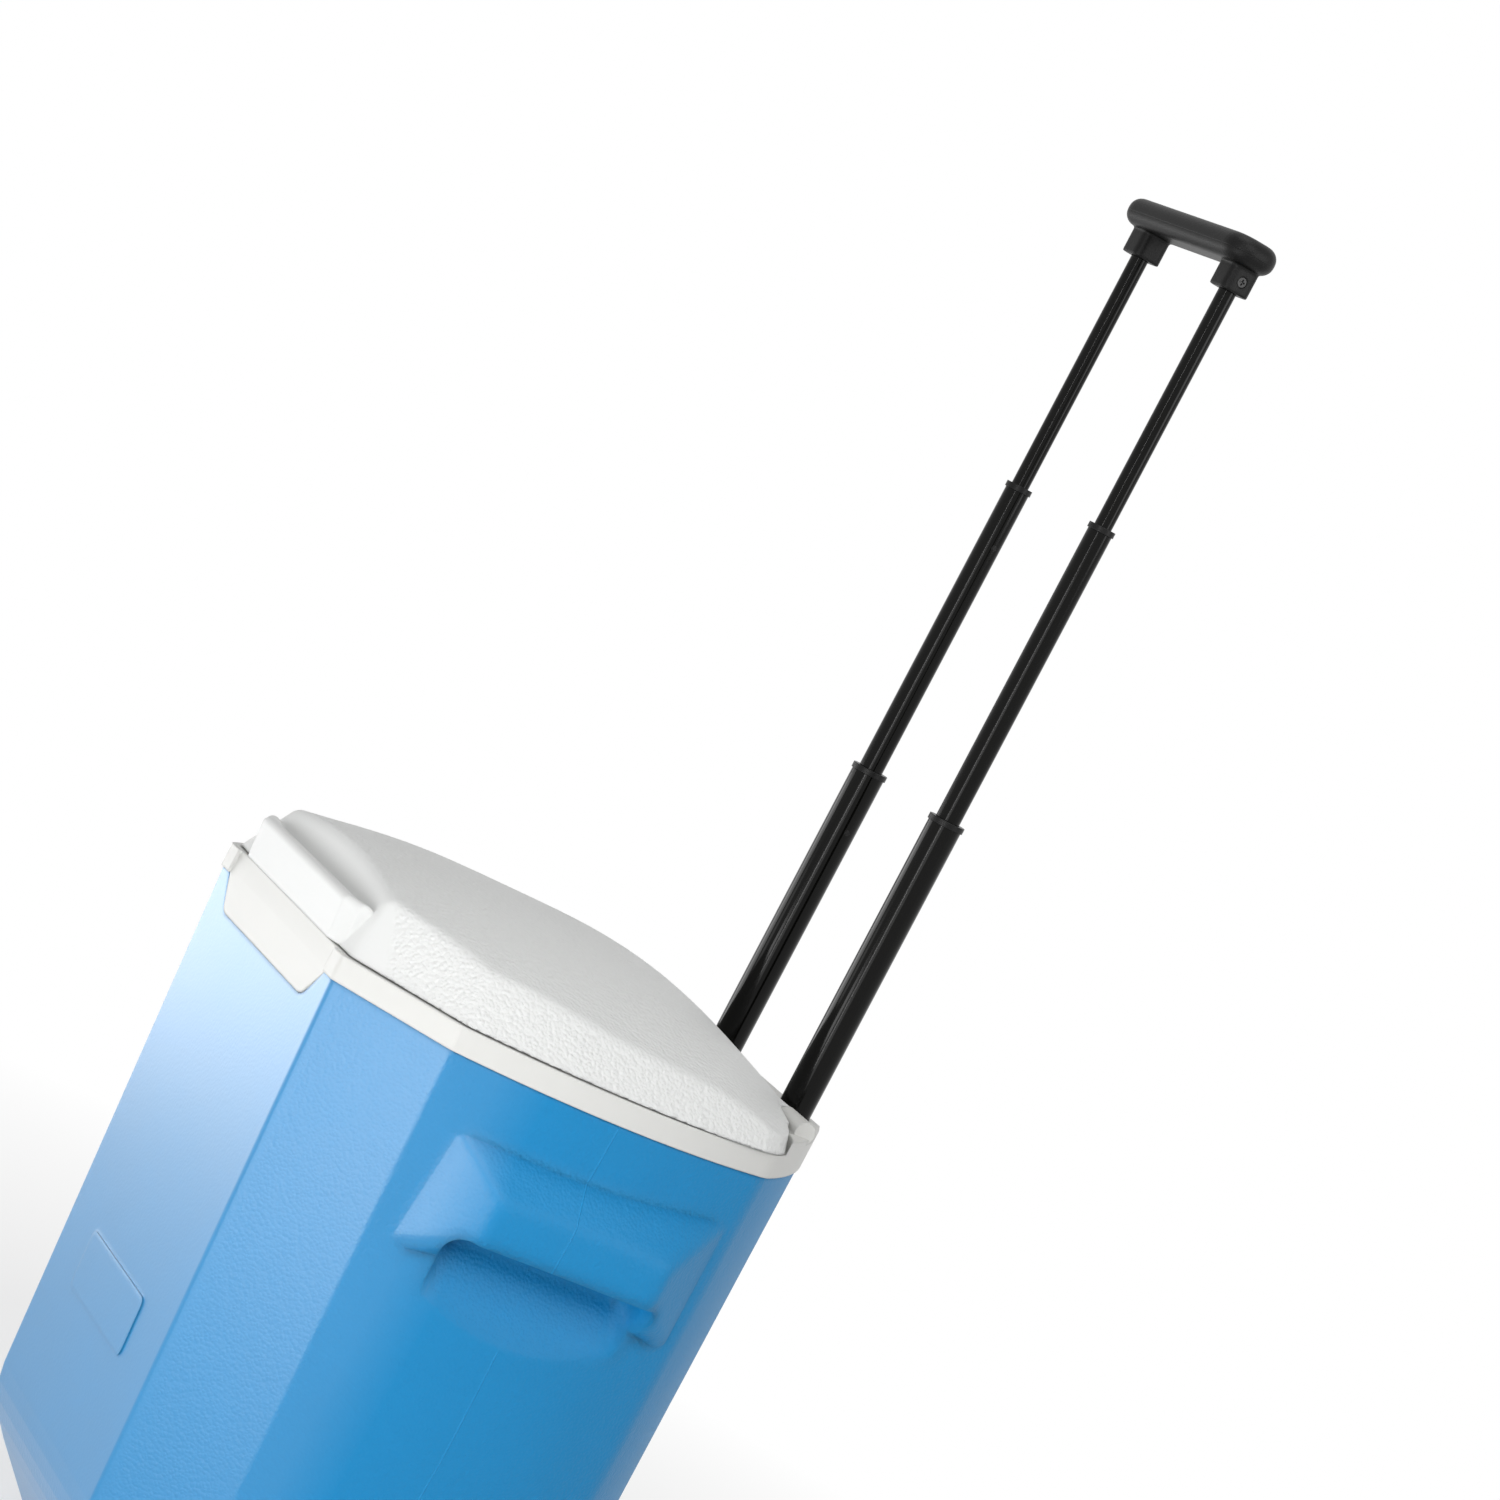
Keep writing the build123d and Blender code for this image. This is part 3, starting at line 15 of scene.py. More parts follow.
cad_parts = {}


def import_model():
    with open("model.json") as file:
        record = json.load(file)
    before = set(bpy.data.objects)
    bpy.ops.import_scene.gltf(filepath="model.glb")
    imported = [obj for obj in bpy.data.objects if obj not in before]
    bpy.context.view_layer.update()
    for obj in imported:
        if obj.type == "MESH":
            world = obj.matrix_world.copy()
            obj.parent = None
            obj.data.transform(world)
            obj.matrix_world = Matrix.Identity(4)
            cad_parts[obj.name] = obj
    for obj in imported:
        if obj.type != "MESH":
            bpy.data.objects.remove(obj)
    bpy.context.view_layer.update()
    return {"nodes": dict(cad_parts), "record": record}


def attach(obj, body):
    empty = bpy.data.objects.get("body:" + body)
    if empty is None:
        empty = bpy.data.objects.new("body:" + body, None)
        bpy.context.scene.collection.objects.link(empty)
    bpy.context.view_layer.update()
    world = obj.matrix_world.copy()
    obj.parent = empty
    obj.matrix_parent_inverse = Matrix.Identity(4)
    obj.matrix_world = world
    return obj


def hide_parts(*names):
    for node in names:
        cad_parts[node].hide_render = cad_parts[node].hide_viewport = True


LOG = logging.getLogger("cooler")
MM = 0.001
WHITE = (1.0, 1.0, 1.0, 1.0)
CURVE_SEGMENTS = 48
SHARP_ANGLE = math.radians(40)
BEVEL_SAMPLES = 8
BROAD_NOISE_SCALE = 14.0
BROAD_ROUGHNESS = 0.06
CELL_WOBBLE = 0.0006
CELL_WOBBLE_SCALE = 0.6
CELL_SMOOTHNESS = 0.4
CELL_DEPTH = 1.2
CELL_NOISE_SCALE = 1.5
CELL_NOISE_SHARE = 0.5
FINE_DETAIL = 3.0
DRAWN_SQUEEZE = (1.0, 1.0, 0.02)


def linear(red: int, green: int, blue: int) -> tuple[float, float, float, float]:
    """Turn a colour written in 0 to 255 into the linear values that shaders take.

    Args:
        red: Red from 0 to 255.
        green: Green from 0 to 255.
        blue: Blue from 0 to 255.

    Returns:
        The colour as linear red, green, blue and an alpha of 1.
    """
    channels = [
        c / 12.92 if c <= 0.04045 else ((c + 0.055) / 1.055) ** 2.4
        for c in (red / 255, green / 255, blue / 255)
    ]
    return (channels[0], channels[1], channels[2], 1.0)


class Value:
    """One shader output with the arithmetic that the finishes use."""

    def __init__(self, tree: ShaderTree, socket: bpy.types.NodeSocket) -> None:
        """Hold a socket and the tree that it belongs to."""
        self.tree = tree
        self.socket = socket

    def _math(self, operation: str, *terms: Value | float) -> Value:
        """Value of one Math node."""
        made = self.tree.node("ShaderNodeMath", {"operation": operation}, dict(enumerate(terms)))
        return made["Value"]

    def __add__(self, other: Value | float) -> Value:
        """Sum of two values."""
        return self._math("ADD", self, other)

    def __sub__(self, other: Value | float) -> Value:
        """Difference of two values."""
        return self._math("SUBTRACT", self, other)

    def __rsub__(self, other: float) -> Value:
        """A number less the value."""
        return self._math("SUBTRACT", other, self)

    def __mul__(self, other: Value | float) -> Value:
        """Product of two values."""
        return self._math("MULTIPLY", self, other)

    def __truediv__(self, other: Value | float) -> Value:
        """Quotient of two values."""
        return self._math("DIVIDE", self, other)

    def __abs__(self) -> Value:
        """Size of the value without its sign."""
        return self._math("ABSOLUTE", self)

    def clamped(self) -> Value:
        """Keep the value between 0 and 1."""
        return self._math("MINIMUM", self._math("MAXIMUM", self, 0.0), 1.0)

    def zigzag(self) -> Value:
        """Fold the value into a wave that runs from 0 to 1 and back once in every whole step."""
        return self._math("PINGPONG", self, 0.5) * 2.0

    def angle_over(self, other: Value) -> Value:
        """Angle whose tangent is this value over another.

        Args:
            other: Value below the line.

        Returns:
            The angle in radians.
        """
        return self._math("ARCTAN2", self, other)


class Outputs:
    """The outputs of one node, read by name."""

    def __init__(self, tree: ShaderTree, node: bpy.types.Node) -> None:
        """Hold a node and the tree that it belongs to."""
        self.tree = tree
        self.node = node

    def __getitem__(self, name: str) -> Value:
        """Output of that name."""
        return Value(self.tree, self.node.outputs[name])


class ShaderTree:
    """Node tree of one material or of the world."""

    def __init__(self, owner: bpy.types.Material | bpy.types.World) -> None:
        """Start with the owner's tree, emptied."""
        owner.use_nodes = True
        self.tree = owner.node_tree
        self.tree.nodes.clear()

    def node(self, kind: str, settings: dict | None = None, inputs: dict | None = None) -> Outputs:
        """Make a node.

        Args:
            kind: Blender's node type.
            settings: Node properties, set before the sockets.
            inputs: Values or links by socket name or index.

        Returns:
            The outputs of the new node.
        """
        made = self.tree.nodes.new(kind)
        for name, value in (settings or {}).items():
            setattr(made, name, value)
        for name, value in (inputs or {}).items():
            if isinstance(value, Value):
                self.tree.links.new(value.socket, made.inputs[name])
            else:
                made.inputs[name].default_value = value
        return Outputs(self, made)

    def mix(self, factor: Value | float, first: object, second: object, blend: str = "MIX") -> Value:
        """Mix two colours.

        Args:
            factor: Share of the second colour, or strength of the blend.
            first: First colour, as a value or a link.
            second: Second colour, as a value or a link.
            blend: Blend type of the Mix node.

        Returns:
            The mixed colour.
        """
        made = self.node("ShaderNodeMix", {"data_type": "RGBA", "blend_type": blend},
                         {"Factor": factor, 6: first, 7: second})
        return Value(self, made.node.outputs[2])

    def mix_vectors(self, factor: Value, first: Value, second: Value) -> Value:
        """Mix two vectors, such as normals.

        Args:
            factor: Share of the second vector.
            first: First vector.
            second: Second vector.

        Returns:
            The mixed vector.
        """
        made = self.node("ShaderNodeMix", {"data_type": "VECTOR"}, {"Factor": factor, 4: first, 5: second})
        return Value(self, made.node.outputs[1])

    def length(self, vector: Value) -> Value:
        """Length of a vector.

        Args:
            vector: Vector to measure.

        Returns:
            Its length.
        """
        return self.node("ShaderNodeVectorMath", {"operation": "LENGTH"}, {0: vector})["Value"]


class Grain(Enum):
    """Surface texture moulded or worn into a finish."""

    FINE = "fine"
    LEATHER = "leather"
    PEBBLE = "pebble"
    DRAWN = "drawn"
    CELLS = "cells"


@dataclass(frozen=True)
class Finish:
    """One finish: its colour, gloss and moulded grain. Lengths are in metres."""

    slot: str
    colour: tuple[float, float, float, float]
    roughness: float
    metallic: float = 0.0
    coat: float = 0.0
    coat_roughness: float = 0.05
    specular: float = 0.5
    grain: Grain = Grain.FINE
    grain_size: float = 1.0 * MM
    grain_depth: float = 0.05 * MM
    edge: float = 0.0
    soft_edge: float = 0.0
    tint: float = 0.04


FINISHES = {
    finish.slot: finish for finish in (
        Finish("shell_blue", linear(5, 123, 178), 0.50, coat=1.0, coat_roughness=0.38, specular=0.35,
               grain=Grain.LEATHER, grain_size=1.8 * MM, grain_depth=0.2 * MM, edge=4.0 * MM,
               soft_edge=12.0 * MM, tint=0.08),
        Finish("lid_white", linear(218, 219, 218), 0.50, specular=0.25, grain=Grain.PEBBLE,
               grain_size=2.1 * MM, grain_depth=0.5 * MM, edge=2.5 * MM, soft_edge=9.0 * MM, tint=0.06),
        Finish("rim_white", linear(205, 205, 202), 0.42, specular=0.25, grain_size=1.2 * MM,
               grain_depth=0.02 * MM, edge=1.6 * MM, tint=0.02),
        Finish("liner_white", linear(236, 236, 234), 0.30, grain_size=1.5 * MM,
               grain_depth=0.02 * MM, edge=1.6 * MM, tint=0.02),
        Finish("foam", linear(236, 224, 180), 0.85, grain=Grain.CELLS, grain_size=1.0 * MM,
               grain_depth=0.3 * MM),
        Finish("tube_black", linear(7, 7, 6), 0.10, specular=0.15,
               grain_size=6.0 * MM, grain_depth=0.002 * MM, edge=0.3 * MM),
        Finish("collar_black", linear(8, 8, 8), 0.36, specular=0.2,
               grain_size=0.5 * MM, grain_depth=0.02 * MM, edge=0.4 * MM),
        Finish("grip_black", linear(7, 7, 7), 0.44, specular=0.18, grain=Grain.LEATHER,
               grain_size=0.9 * MM, grain_depth=0.05 * MM, edge=1.4 * MM),
        Finish("guide_metal", linear(200, 202, 205), 0.30, metallic=1.0, grain=Grain.DRAWN,
               grain_size=0.4 * MM, grain_depth=0.01 * MM),
        Finish("bracket_black", linear(28, 28, 29), 0.50, grain_size=0.8 * MM,
               grain_depth=0.04 * MM, edge=0.8 * MM),
        Finish("wheel_black", linear(26, 26, 27), 0.48, grain_size=0.9 * MM,
               grain_depth=0.06 * MM, edge=1.0 * MM),
        Finish("foot_rubber", linear(32, 32, 32), 0.72, grain_size=0.7 * MM,
               grain_depth=0.08 * MM, edge=0.8 * MM),
        Finish("steel", linear(186, 188, 191), 0.28, metallic=1.0,
               grain_size=0.6 * MM, grain_depth=0.01 * MM, edge=0.3 * MM),
        Finish("steel_blacked", linear(20, 20, 20), 0.34, specular=0.4,
               grain_size=0.6 * MM, grain_depth=0.01 * MM, edge=0.3 * MM),
    )
}


class Surface:
    """A procedural material in the making, whose layers a sub-assembly may add to."""

    def __init__(self, finish: Finish) -> None:
        """Start a material from the grain and colour of a finish.

        Args:
            finish: Finish that the material shows.
        """
        self.finish = finish
        self.material = bpy.data.materials.new(f"finish_{finish.slot}")
        self.tree = ShaderTree(self.material)
        self.place = self.tree.node("ShaderNodeTexCoord")["Object"]
        self.axes = self.tree.node("ShaderNodeSeparateXYZ", None, {"Vector": self.place})
        self.broad = self.noise(self.place, BROAD_NOISE_SCALE)
        self.height = self._grain()
        self.shade = (self.broad - 0.5) * finish.tint + 1.0
        self.coat: Value | float = finish.coat
        self.roughness: Value = (self.broad - 0.5) * BROAD_ROUGHNESS + finish.roughness
        self.soft_share: Value | None = None

    def noise(self, place: Value, scale: float, detail: float = 2.0) -> Value:
        """Noise from 0 to 1.

        Args:
            place: Coordinates that it is read at.
            scale: Bumps per metre, roughly.
            detail: Finer layers that are added.

        Returns:
            The noise.
        """
        return self.tree.node("ShaderNodeTexNoise", None,
                              {"Vector": place, "Scale": scale, "Detail": detail})["Fac"]

    def _grain(self) -> Value:
        """Height of the grain.

        Returns:
            A height from about 0 to 1.
        """
        finish, tree, scale = self.finish, self.tree, 1.0 / self.finish.grain_size
        if finish.grain in (Grain.LEATHER, Grain.PEBBLE):
            wobble = tree.node("ShaderNodeTexNoise", None,
                               {"Vector": self.place, "Scale": scale * CELL_WOBBLE_SCALE, "Detail": 2.0})
            bent = tree.mix(CELL_WOBBLE, self.place, wobble["Color"], "LINEAR_LIGHT")
            cells = tree.node("ShaderNodeTexVoronoi", {"feature": "SMOOTH_F1"}, {
                "Vector": bent, "Scale": scale, "Smoothness": CELL_SMOOTHNESS, "Randomness": 1.0})
            fine = self.noise(self.place, scale * CELL_NOISE_SCALE, FINE_DETAIL)
            return 1.0 - cells["Distance"] * CELL_DEPTH + fine * CELL_NOISE_SHARE
        if finish.grain is Grain.DRAWN:
            drawn = tree.node("ShaderNodeMapping", None, {"Vector": self.place, "Scale": DRAWN_SQUEEZE})
            return self.noise(drawn["Vector"], scale)
        if finish.grain is Grain.CELLS:
            cells = tree.node("ShaderNodeTexVoronoi", {"feature": "F1"},
                              {"Vector": self.place, "Scale": scale})
            return cells["Distance"]
        return self.noise(self.place, scale, FINE_DETAIL)

    def _edges(self) -> dict[str, Value]:
        """Normal with rounded edges.

        Returns:
            The Bump node's input for it, or nothing for a finish without an edge.
        """
        if not self.finish.edge:
            return {}
        tight = self._bevel(self.finish.edge)
        if self.soft_share is None:
            return {"Normal": tight}
        return {"Normal": self.tree.mix_vectors(self.soft_share, tight, self._bevel(self.finish.soft_edge))}

    def _bevel(self, radius: float) -> Value:
        """Normal with its edges rounded to a radius."""
        return self.tree.node("ShaderNodeBevel", {"samples": BEVEL_SAMPLES}, {"Radius": radius})["Normal"]

    def close(self) -> bpy.types.Material:
        """Join the layers to the shader.

        Returns:
            The finished material.
        """
        finish, tree = self.finish, self.tree
        grey = tree.node("ShaderNodeCombineColor", None, {0: self.shade, 1: self.shade, 2: self.shade})
        bump = tree.node("ShaderNodeBump", None,
                         {"Height": self.height, "Distance": finish.grain_depth, **self._edges()})
        shader = tree.node("ShaderNodeBsdfPrincipled", None, {
            "Base Color": tree.mix(1.0, finish.colour, grey["Color"], "MULTIPLY"),
            "Roughness": self.roughness,
            "Metallic": finish.metallic,
            "Specular IOR Level": finish.specular,
            "Coat Weight": self.coat,
            "Coat Roughness": finish.coat_roughness,
            "Normal": bump["Normal"],
        })
        tree.node("ShaderNodeOutputMaterial", None, {"Surface": shader["BSDF"]})
        LOG.info("finish %s built", finish.slot)
        return self.material


def block(size: tuple[float, float, float], centre: tuple[float, float, float]) -> bmesh.types.BMesh:
    """Make a block.

    Args:
        size: Its lengths along X, Y and Z.
        centre: Its middle.

    Returns:
        The block as a bmesh.
    """
    shape = bmesh.new()
    placed = Matrix.Translation(centre) @ Matrix.Diagonal((*size, 1.0))
    bmesh.ops.create_cube(shape, size=1.0, matrix=placed)
    return shape


def rod(radius: float, length: float, centre: tuple[float, float, float], axis: str) -> bmesh.types.BMesh:
    """Make a rod along X or Z.

    Args:
        radius: Its radius.
        length: Its length.
        centre: Its middle.
        axis: "X" or "Z".

    Returns:
        The rod as a bmesh.
    """
    turn = Matrix.Rotation(math.radians(90), 4, "Y") if axis == "X" else Matrix.Identity(4)
    shape = bmesh.new()
    bmesh.ops.create_cone(shape, cap_ends=True, segments=CURVE_SEGMENTS, radius1=radius,
                          radius2=radius, depth=length, matrix=Matrix.Translation(centre) @ turn)
    return shape


def is_upright(edge: bmesh.types.BMEdge) -> bool:
    """Whether an edge stands upright.

    Args:
        edge: Edge to test.

    Returns:
        True for an upright edge.
    """
    return abs(edge.verts[0].co.z - edge.verts[1].co.z) > 0.9 * edge.calc_length()


def is_level(edge: bmesh.types.BMEdge) -> bool:
    """Whether an edge bounds a level face.

    Args:
        edge: Edge to test.

    Returns:
        True where a face beside it is level.
    """
    return any(abs(face.normal.z) > 0.99 for face in edge.link_faces)


def round_edges(shape: bmesh.types.BMesh, wanted: Callable[[bmesh.types.BMEdge], bool],
                radius: float, segments: int) -> None:
    """Round the edges that a test picks.

    Args:
        shape: Mesh to change.
        wanted: Test for an edge.
        radius: Radius of the rounding.
        segments: Faces round the bend.
    """
    shape.normal_update()
    bmesh.ops.bevel(shape, geom=[edge for edge in shape.edges if wanted(edge)], offset=radius,
                    offset_type="OFFSET", segments=segments, profile=0.5, affect="EDGES", material=-1,
                    clamp_overlap=True)


def mesh_object(name: str, *shapes: bmesh.types.BMesh) -> bpy.types.Object:
    """Make an object of one or more shapes, which are freed.

    Args:
        name: Name of the object.
        *shapes: Closed shapes.

    Returns:
        The object, at the origin.
    """
    mesh = bpy.data.meshes.new(name)
    whole = bmesh.new()
    for shape in shapes:
        part = bpy.data.meshes.new("part")
        shape.to_mesh(part)
        shape.free()
        whole.from_mesh(part)
        bpy.data.meshes.remove(part)
    bmesh.ops.recalc_face_normals(whole, faces=whole.faces)
    for face in whole.faces:
        face.smooth = True
    whole.to_mesh(mesh)
    whole.free()
    piece = bpy.data.objects.new(name, mesh)
    bpy.context.scene.collection.objects.link(piece)
    return piece


def bake_modifiers(piece: bpy.types.Object) -> None:
    """Turn the shape that the modifiers give into the piece's own mesh.

    Args:
        piece: Object that wears the modifiers.
    """
    graph = bpy.context.evaluated_depsgraph_get()
    baked = bpy.data.meshes.new_from_object(piece.evaluated_get(graph))
    piece.modifiers.clear()
    piece.data = baked
    baked.set_sharp_from_angle(angle=SHARP_ANGLE)


@dataclass
class SubAssembly:
    """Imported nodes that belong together, and the finishes that they wear."""

    title: str
    slots: tuple[str, ...]
    special: ClassVar[dict[str, str]] = {
        "pull_screws": "steel_blacked",
        "bracket_screws": "steel_blacked",
    }

    def layer(self, surface: Surface) -> None:
        """Add the marks of this sub-assembly to a surface; plain surfaces get none.

        Args:
            surface: Surface in the making.
        """

    def dress(self, nodes: dict[str, bpy.types.Object], slot_of: dict[str, str]) -> None:
        """Build the finishes and put them on the nodes that wear them.

        Args:
            nodes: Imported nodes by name.
            slot_of: Slot of each node.
        """
        for slot in self.slots:
            surface = Surface(FINISHES[slot])
            self.layer(surface)
            material = surface.close()
            for name, piece in nodes.items():
                if self.special.get(name, slot_of[name]) == slot:
                    if not piece.material_slots:
                        piece.data.materials.append(material)
                    for holder in piece.material_slots:
                        holder.material = material
                    LOG.info("%s: %s wears %s", self.title, name, slot)


@dataclass
class Tub(SubAssembly):
    """Blue body with its side grips, the white rim, the liner and the foam between them."""

    title: str = "tub"
    slots: tuple[str, ...] = ("shell_blue", "rim_white", "liner_white", "foam")
    front_y: float = -159.5 * MM
    front_draft: float = 0.0566
    top_z: float = 355.6 * MM
    front_band: float = 6.0 * MM
    front_grain: float = 0.2
    parting_y: float = -24.0 * MM
    parting_sway: float = 7.0 * MM
    parting_half_width: float = 0.5 * MM
    parting_scale: float = 9.0
    parting_height: float = 1.5
    # painted highlight: how much lighter the parting line is coloured, so the thin ridge reads as a lit
    # line
    parting_painted_highlight: float = 0.3
    recess_z: float = 256.0 * MM
    recess_half_height: float = 22.0 * MM
    polish_y: float = -62.0 * MM
    polish_fade: float = 26.0 * MM
    polish_gain: float = 0.1
    grip_y: float = -18.0 * MM
    grip_z: float = 290.0 * MM
    grip_half_length: float = 84.0 * MM
    grip_half_height: float = 58.0 * MM
    grip_fade: float = 14.0 * MM

    def layer(self, surface: Surface) -> None:
        """Grain, polish, parting line and creases of the blue shell.

        The front is smoother and glossier than the sides, the mould leaves a thin raised parting line whose
        colour is painted lighter as a painted highlight, and the creases round the side grips are soft.

        Args:
            surface: Surface in the making.
        """
        if surface.finish.slot != "shell_blue":
            return
        axes = surface.axes
        front_plane = (self.top_z - axes["Z"]) * self.front_draft + self.front_y
        off_front = ((axes["Y"] - front_plane) / self.front_band).clamped()
        sway = (surface.noise(surface.place, self.parting_scale, 0.0) - 0.5) * self.parting_sway
        off_line = abs(axes["Y"] - self.parting_y + sway)
        off_recess = abs(axes["Z"] - self.recess_z) / self.recess_half_height - 1.0
        on_wall = off_recess * self.recess_half_height / MM
        line = (1.0 - off_line / self.parting_half_width).clamped() * on_wall.clamped()
        grained = off_front * (1.0 - self.front_grain) + self.front_grain
        surface.height = surface.height * grained + line * self.parting_height
        # painted highlight: the parting line's colour is lightened where the ridge would catch the light
        surface.shade = surface.shade + line * self.parting_painted_highlight
        polish = ((self.polish_y - axes["Y"]) / self.polish_fade).clamped()
        surface.coat = polish * surface.finish.coat
        surface.roughness = surface.roughness - polish * self.polish_gain
        along = ((self.grip_half_length - abs(axes["Y"] - self.grip_y)) / self.grip_fade).clamped()
        upright = ((self.grip_half_height - abs(axes["Z"] - self.grip_z)) / self.grip_fade).clamped()
        surface.soft_share = along * upright


@dataclass
class Lid(SubAssembly):
    """White lid with a grained crown and a smooth lifting lip."""

    title: str = "lid"
    slots: tuple[str, ...] = ("lid_white",)
    lip_y: float = -143.0 * MM
    lip_band: float = 3.0 * MM
    lip_grain: float = 0.06
    crown_z: float = 386.0 * MM
    crown_band: float = 6.0 * MM
    inner_y: float = -128.0 * MM

    def layer(self, surface: Surface) -> None:
        """No grain on the lip, and softer creases on the crown.

        Args:
            surface: Surface in the making.
        """
        axes = surface.axes
        off_lip = ((axes["Y"] - self.lip_y) / self.lip_band).clamped()
        surface.height = surface.height * (off_lip * (1.0 - self.lip_grain) + self.lip_grain)
        high = ((axes["Z"] - self.crown_z) / self.crown_band).clamped()
        inward = ((axes["Y"] - self.inner_y) / self.crown_band).clamped()
        surface.soft_share = high * inward


@dataclass
class PullHandle(SubAssembly):
    """Two-rail telescopic handle with its collars, bushes, grip, guides and bracket."""

    title: str = "pull handle"
    slots: tuple[str, ...] = ("tube_black", "collar_black", "grip_black", "guide_metal", "bracket_black",
                              "steel_blacked")
    tube_x: float = 45.0 * MM
    tube_y: float = 122.0 * MM
    bar_half_length: float = 60.0 * MM
    bar_depth: float = 31.0 * MM
    bar_height: float = 14.6 * MM
    bar_y: float = 120.5 * MM
    bar_z: float = 859.8 * MM
    bar_corner: float = 13.0 * MM
    bar_rounding: float = 6.6 * MM
    housing_width: float = 17.0 * MM
    housing_depth: float = 17.0 * MM
    housing_corner: float = 4.2 * MM
    housing_bottom_z: float = 839.0 * MM
    tube_bore: float = 4.8 * MM
    tube_top_z: float = 852.2 * MM
    screw_z: float = 845.5 * MM
    screw_head_bore: float = 2.75 * MM
    screw_shank_bore: float = 1.65 * MM
    screw_head_depth: float = 1.9 * MM
    seam_z: float = 858.5 * MM
    seam_half_width: float = 0.25 * MM
    seam_depth: float = 3.0
    corner_segments: int = 8
    edge_segments: int = 6
    housing_segments: int = 5
    voxel: float = 0.55 * MM
    smoothing: float = 0.5
    smoothing_steps: int = 8

    def layer(self, surface: Surface) -> None:
        """Draw the seam between the halves of the grip.

        Args:
            surface: Surface in the making.
        """
        if surface.finish.slot == "grip_black":
            off_seam = abs(surface.axes["Z"] - self.seam_z)
            seam = (1.0 - off_seam / self.seam_half_width).clamped()
            surface.height = surface.height - seam * self.seam_depth

    def _bar(self) -> bmesh.types.BMesh:
        """Bar of the grip: a block with rounded ends and fully rounded long edges.

        Returns:
            The bar as a bmesh.
        """
        size = (self.bar_half_length * 2, self.bar_depth, self.bar_height)
        shape = block(size, (0.0, self.bar_y, self.bar_z))
        round_edges(shape, is_upright, self.bar_corner, self.corner_segments)
        round_edges(shape, is_level, self.bar_rounding, self.edge_segments)
        return shape

    def _housing(self, side: int) -> bmesh.types.BMesh:
        """Housing round the top of one tube.

        Args:
            side: -1 for the left tube, 1 for the right one.

        Returns:
            The housing as a bmesh.
        """
        height = self.bar_z - self.housing_bottom_z
        shape = block((self.housing_width, self.housing_depth, height),
                      (side * self.tube_x, self.tube_y, self.housing_bottom_z + height / 2))
        round_edges(shape, is_upright, self.housing_corner, self.housing_segments)
        return shape

    def _bores(self) -> list[bpy.types.Object]:
        """Cutters for the tube sockets and the screws.

        Returns:
            The cutters, which are removed once the grip is cut.
        """
        cutters = []
        depth = self.tube_top_z - self.housing_bottom_z
        for side in (-1, 1):
            face_x = side * (self.tube_x + self.housing_width / 2)
            shank_x = face_x - side * self.housing_width / 4
            foot = (side * self.tube_x, self.tube_y, self.housing_bottom_z)
            head = (face_x, self.tube_y, self.screw_z)
            shank = (shank_x, self.tube_y, self.screw_z)
            shapes = (
                rod(self.tube_bore, depth * 2, foot, "Z"),
                rod(self.screw_head_bore, self.screw_head_depth * 2, head, "X"),
                rod(self.screw_shank_bore, self.housing_width / 2, shank, "X"),
            )
            cutters += [mesh_object(f"cutter_{side}_{index}", shape) for index, shape in enumerate(shapes)]
        return cutters

    def build_grip(self) -> bpy.types.Object:
        """Model the pull grip in one piece with its two housings.

        Returns:
            The grip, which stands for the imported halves.
        """
        grip = mesh_object("pull_grip", self._bar(), self._housing(-1), self._housing(1))
        remesh = grip.modifiers.new("merge", "REMESH")
        remesh.mode = "VOXEL"
        remesh.voxel_size = self.voxel
        smooth = grip.modifiers.new("soften", "SMOOTH")
        smooth.factor = self.smoothing
        smooth.iterations = self.smoothing_steps
        cutters = self._bores()
        for cutter in cutters:
            cut = grip.modifiers.new("bore", "BOOLEAN")
            cut.operation = "DIFFERENCE"
            cut.solver = "EXACT"
            cut.object = cutter
        bake_modifiers(grip)
        for cutter in cutters:
            bpy.data.objects.remove(cutter)
        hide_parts("pull_top", "pull_base")
        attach(grip, "upper_stage")
        LOG.info("%s: pull grip modelled", self.title)
        return grip


@dataclass
class RunningGear(SubAssembly):
    """Wheels, feet, axle, hinge pins and screws."""

    title: str = "running gear"
    slots: tuple[str, ...] = ("wheel_black", "foot_rubber", "steel")
    wheel_y: float = 107.0 * MM
    wheel_z: float = 55.0 * MM
    tread_radius: float = 53.4 * MM
    tread_band: float = 0.6 * MM
    tread_ribs: int = 48
    tread_height: float = 14.0
    # painted light: how much lighter the raised tread ribs are coloured than the grooves between them
    tread_painted_light: float = 0.15
    rib_start: float = 0.35
    rib_slope: float = 4.0

    def layer(self, surface: Surface) -> None:
        """Ribs across the tread of the wheels; the ribs are coloured lighter than the grooves, painted
        light on the raised ribs and painted shade in the grooves.

        Args:
            surface: Surface in the making.
        """
        if surface.finish.slot != "wheel_black":
            return
        tree = surface.tree
        centred = tree.node("ShaderNodeMapping", None, {
            "Vector": surface.place, "Location": (0.0, -self.wheel_y, -self.wheel_z)})["Vector"]
        flat = tree.node("ShaderNodeMapping", None, {"Vector": centred, "Scale": (0.0, 1.0, 1.0)})["Vector"]
        parts = tree.node("ShaderNodeSeparateXYZ", None, {"Vector": flat})
        on_tread = ((tree.length(flat) - self.tread_radius) / self.tread_band).clamped()
        turn = parts["Z"].angle_over(parts["Y"]) * (self.tread_ribs / math.tau)
        rib = ((turn.zigzag() - self.rib_start) * self.rib_slope).clamped()
        surface.height = surface.height + on_tread * rib * self.tread_height
        # painted light on the raised ribs, leaving painted shade in the grooves
        surface.shade = surface.shade + on_tread * rib * self.tread_painted_light


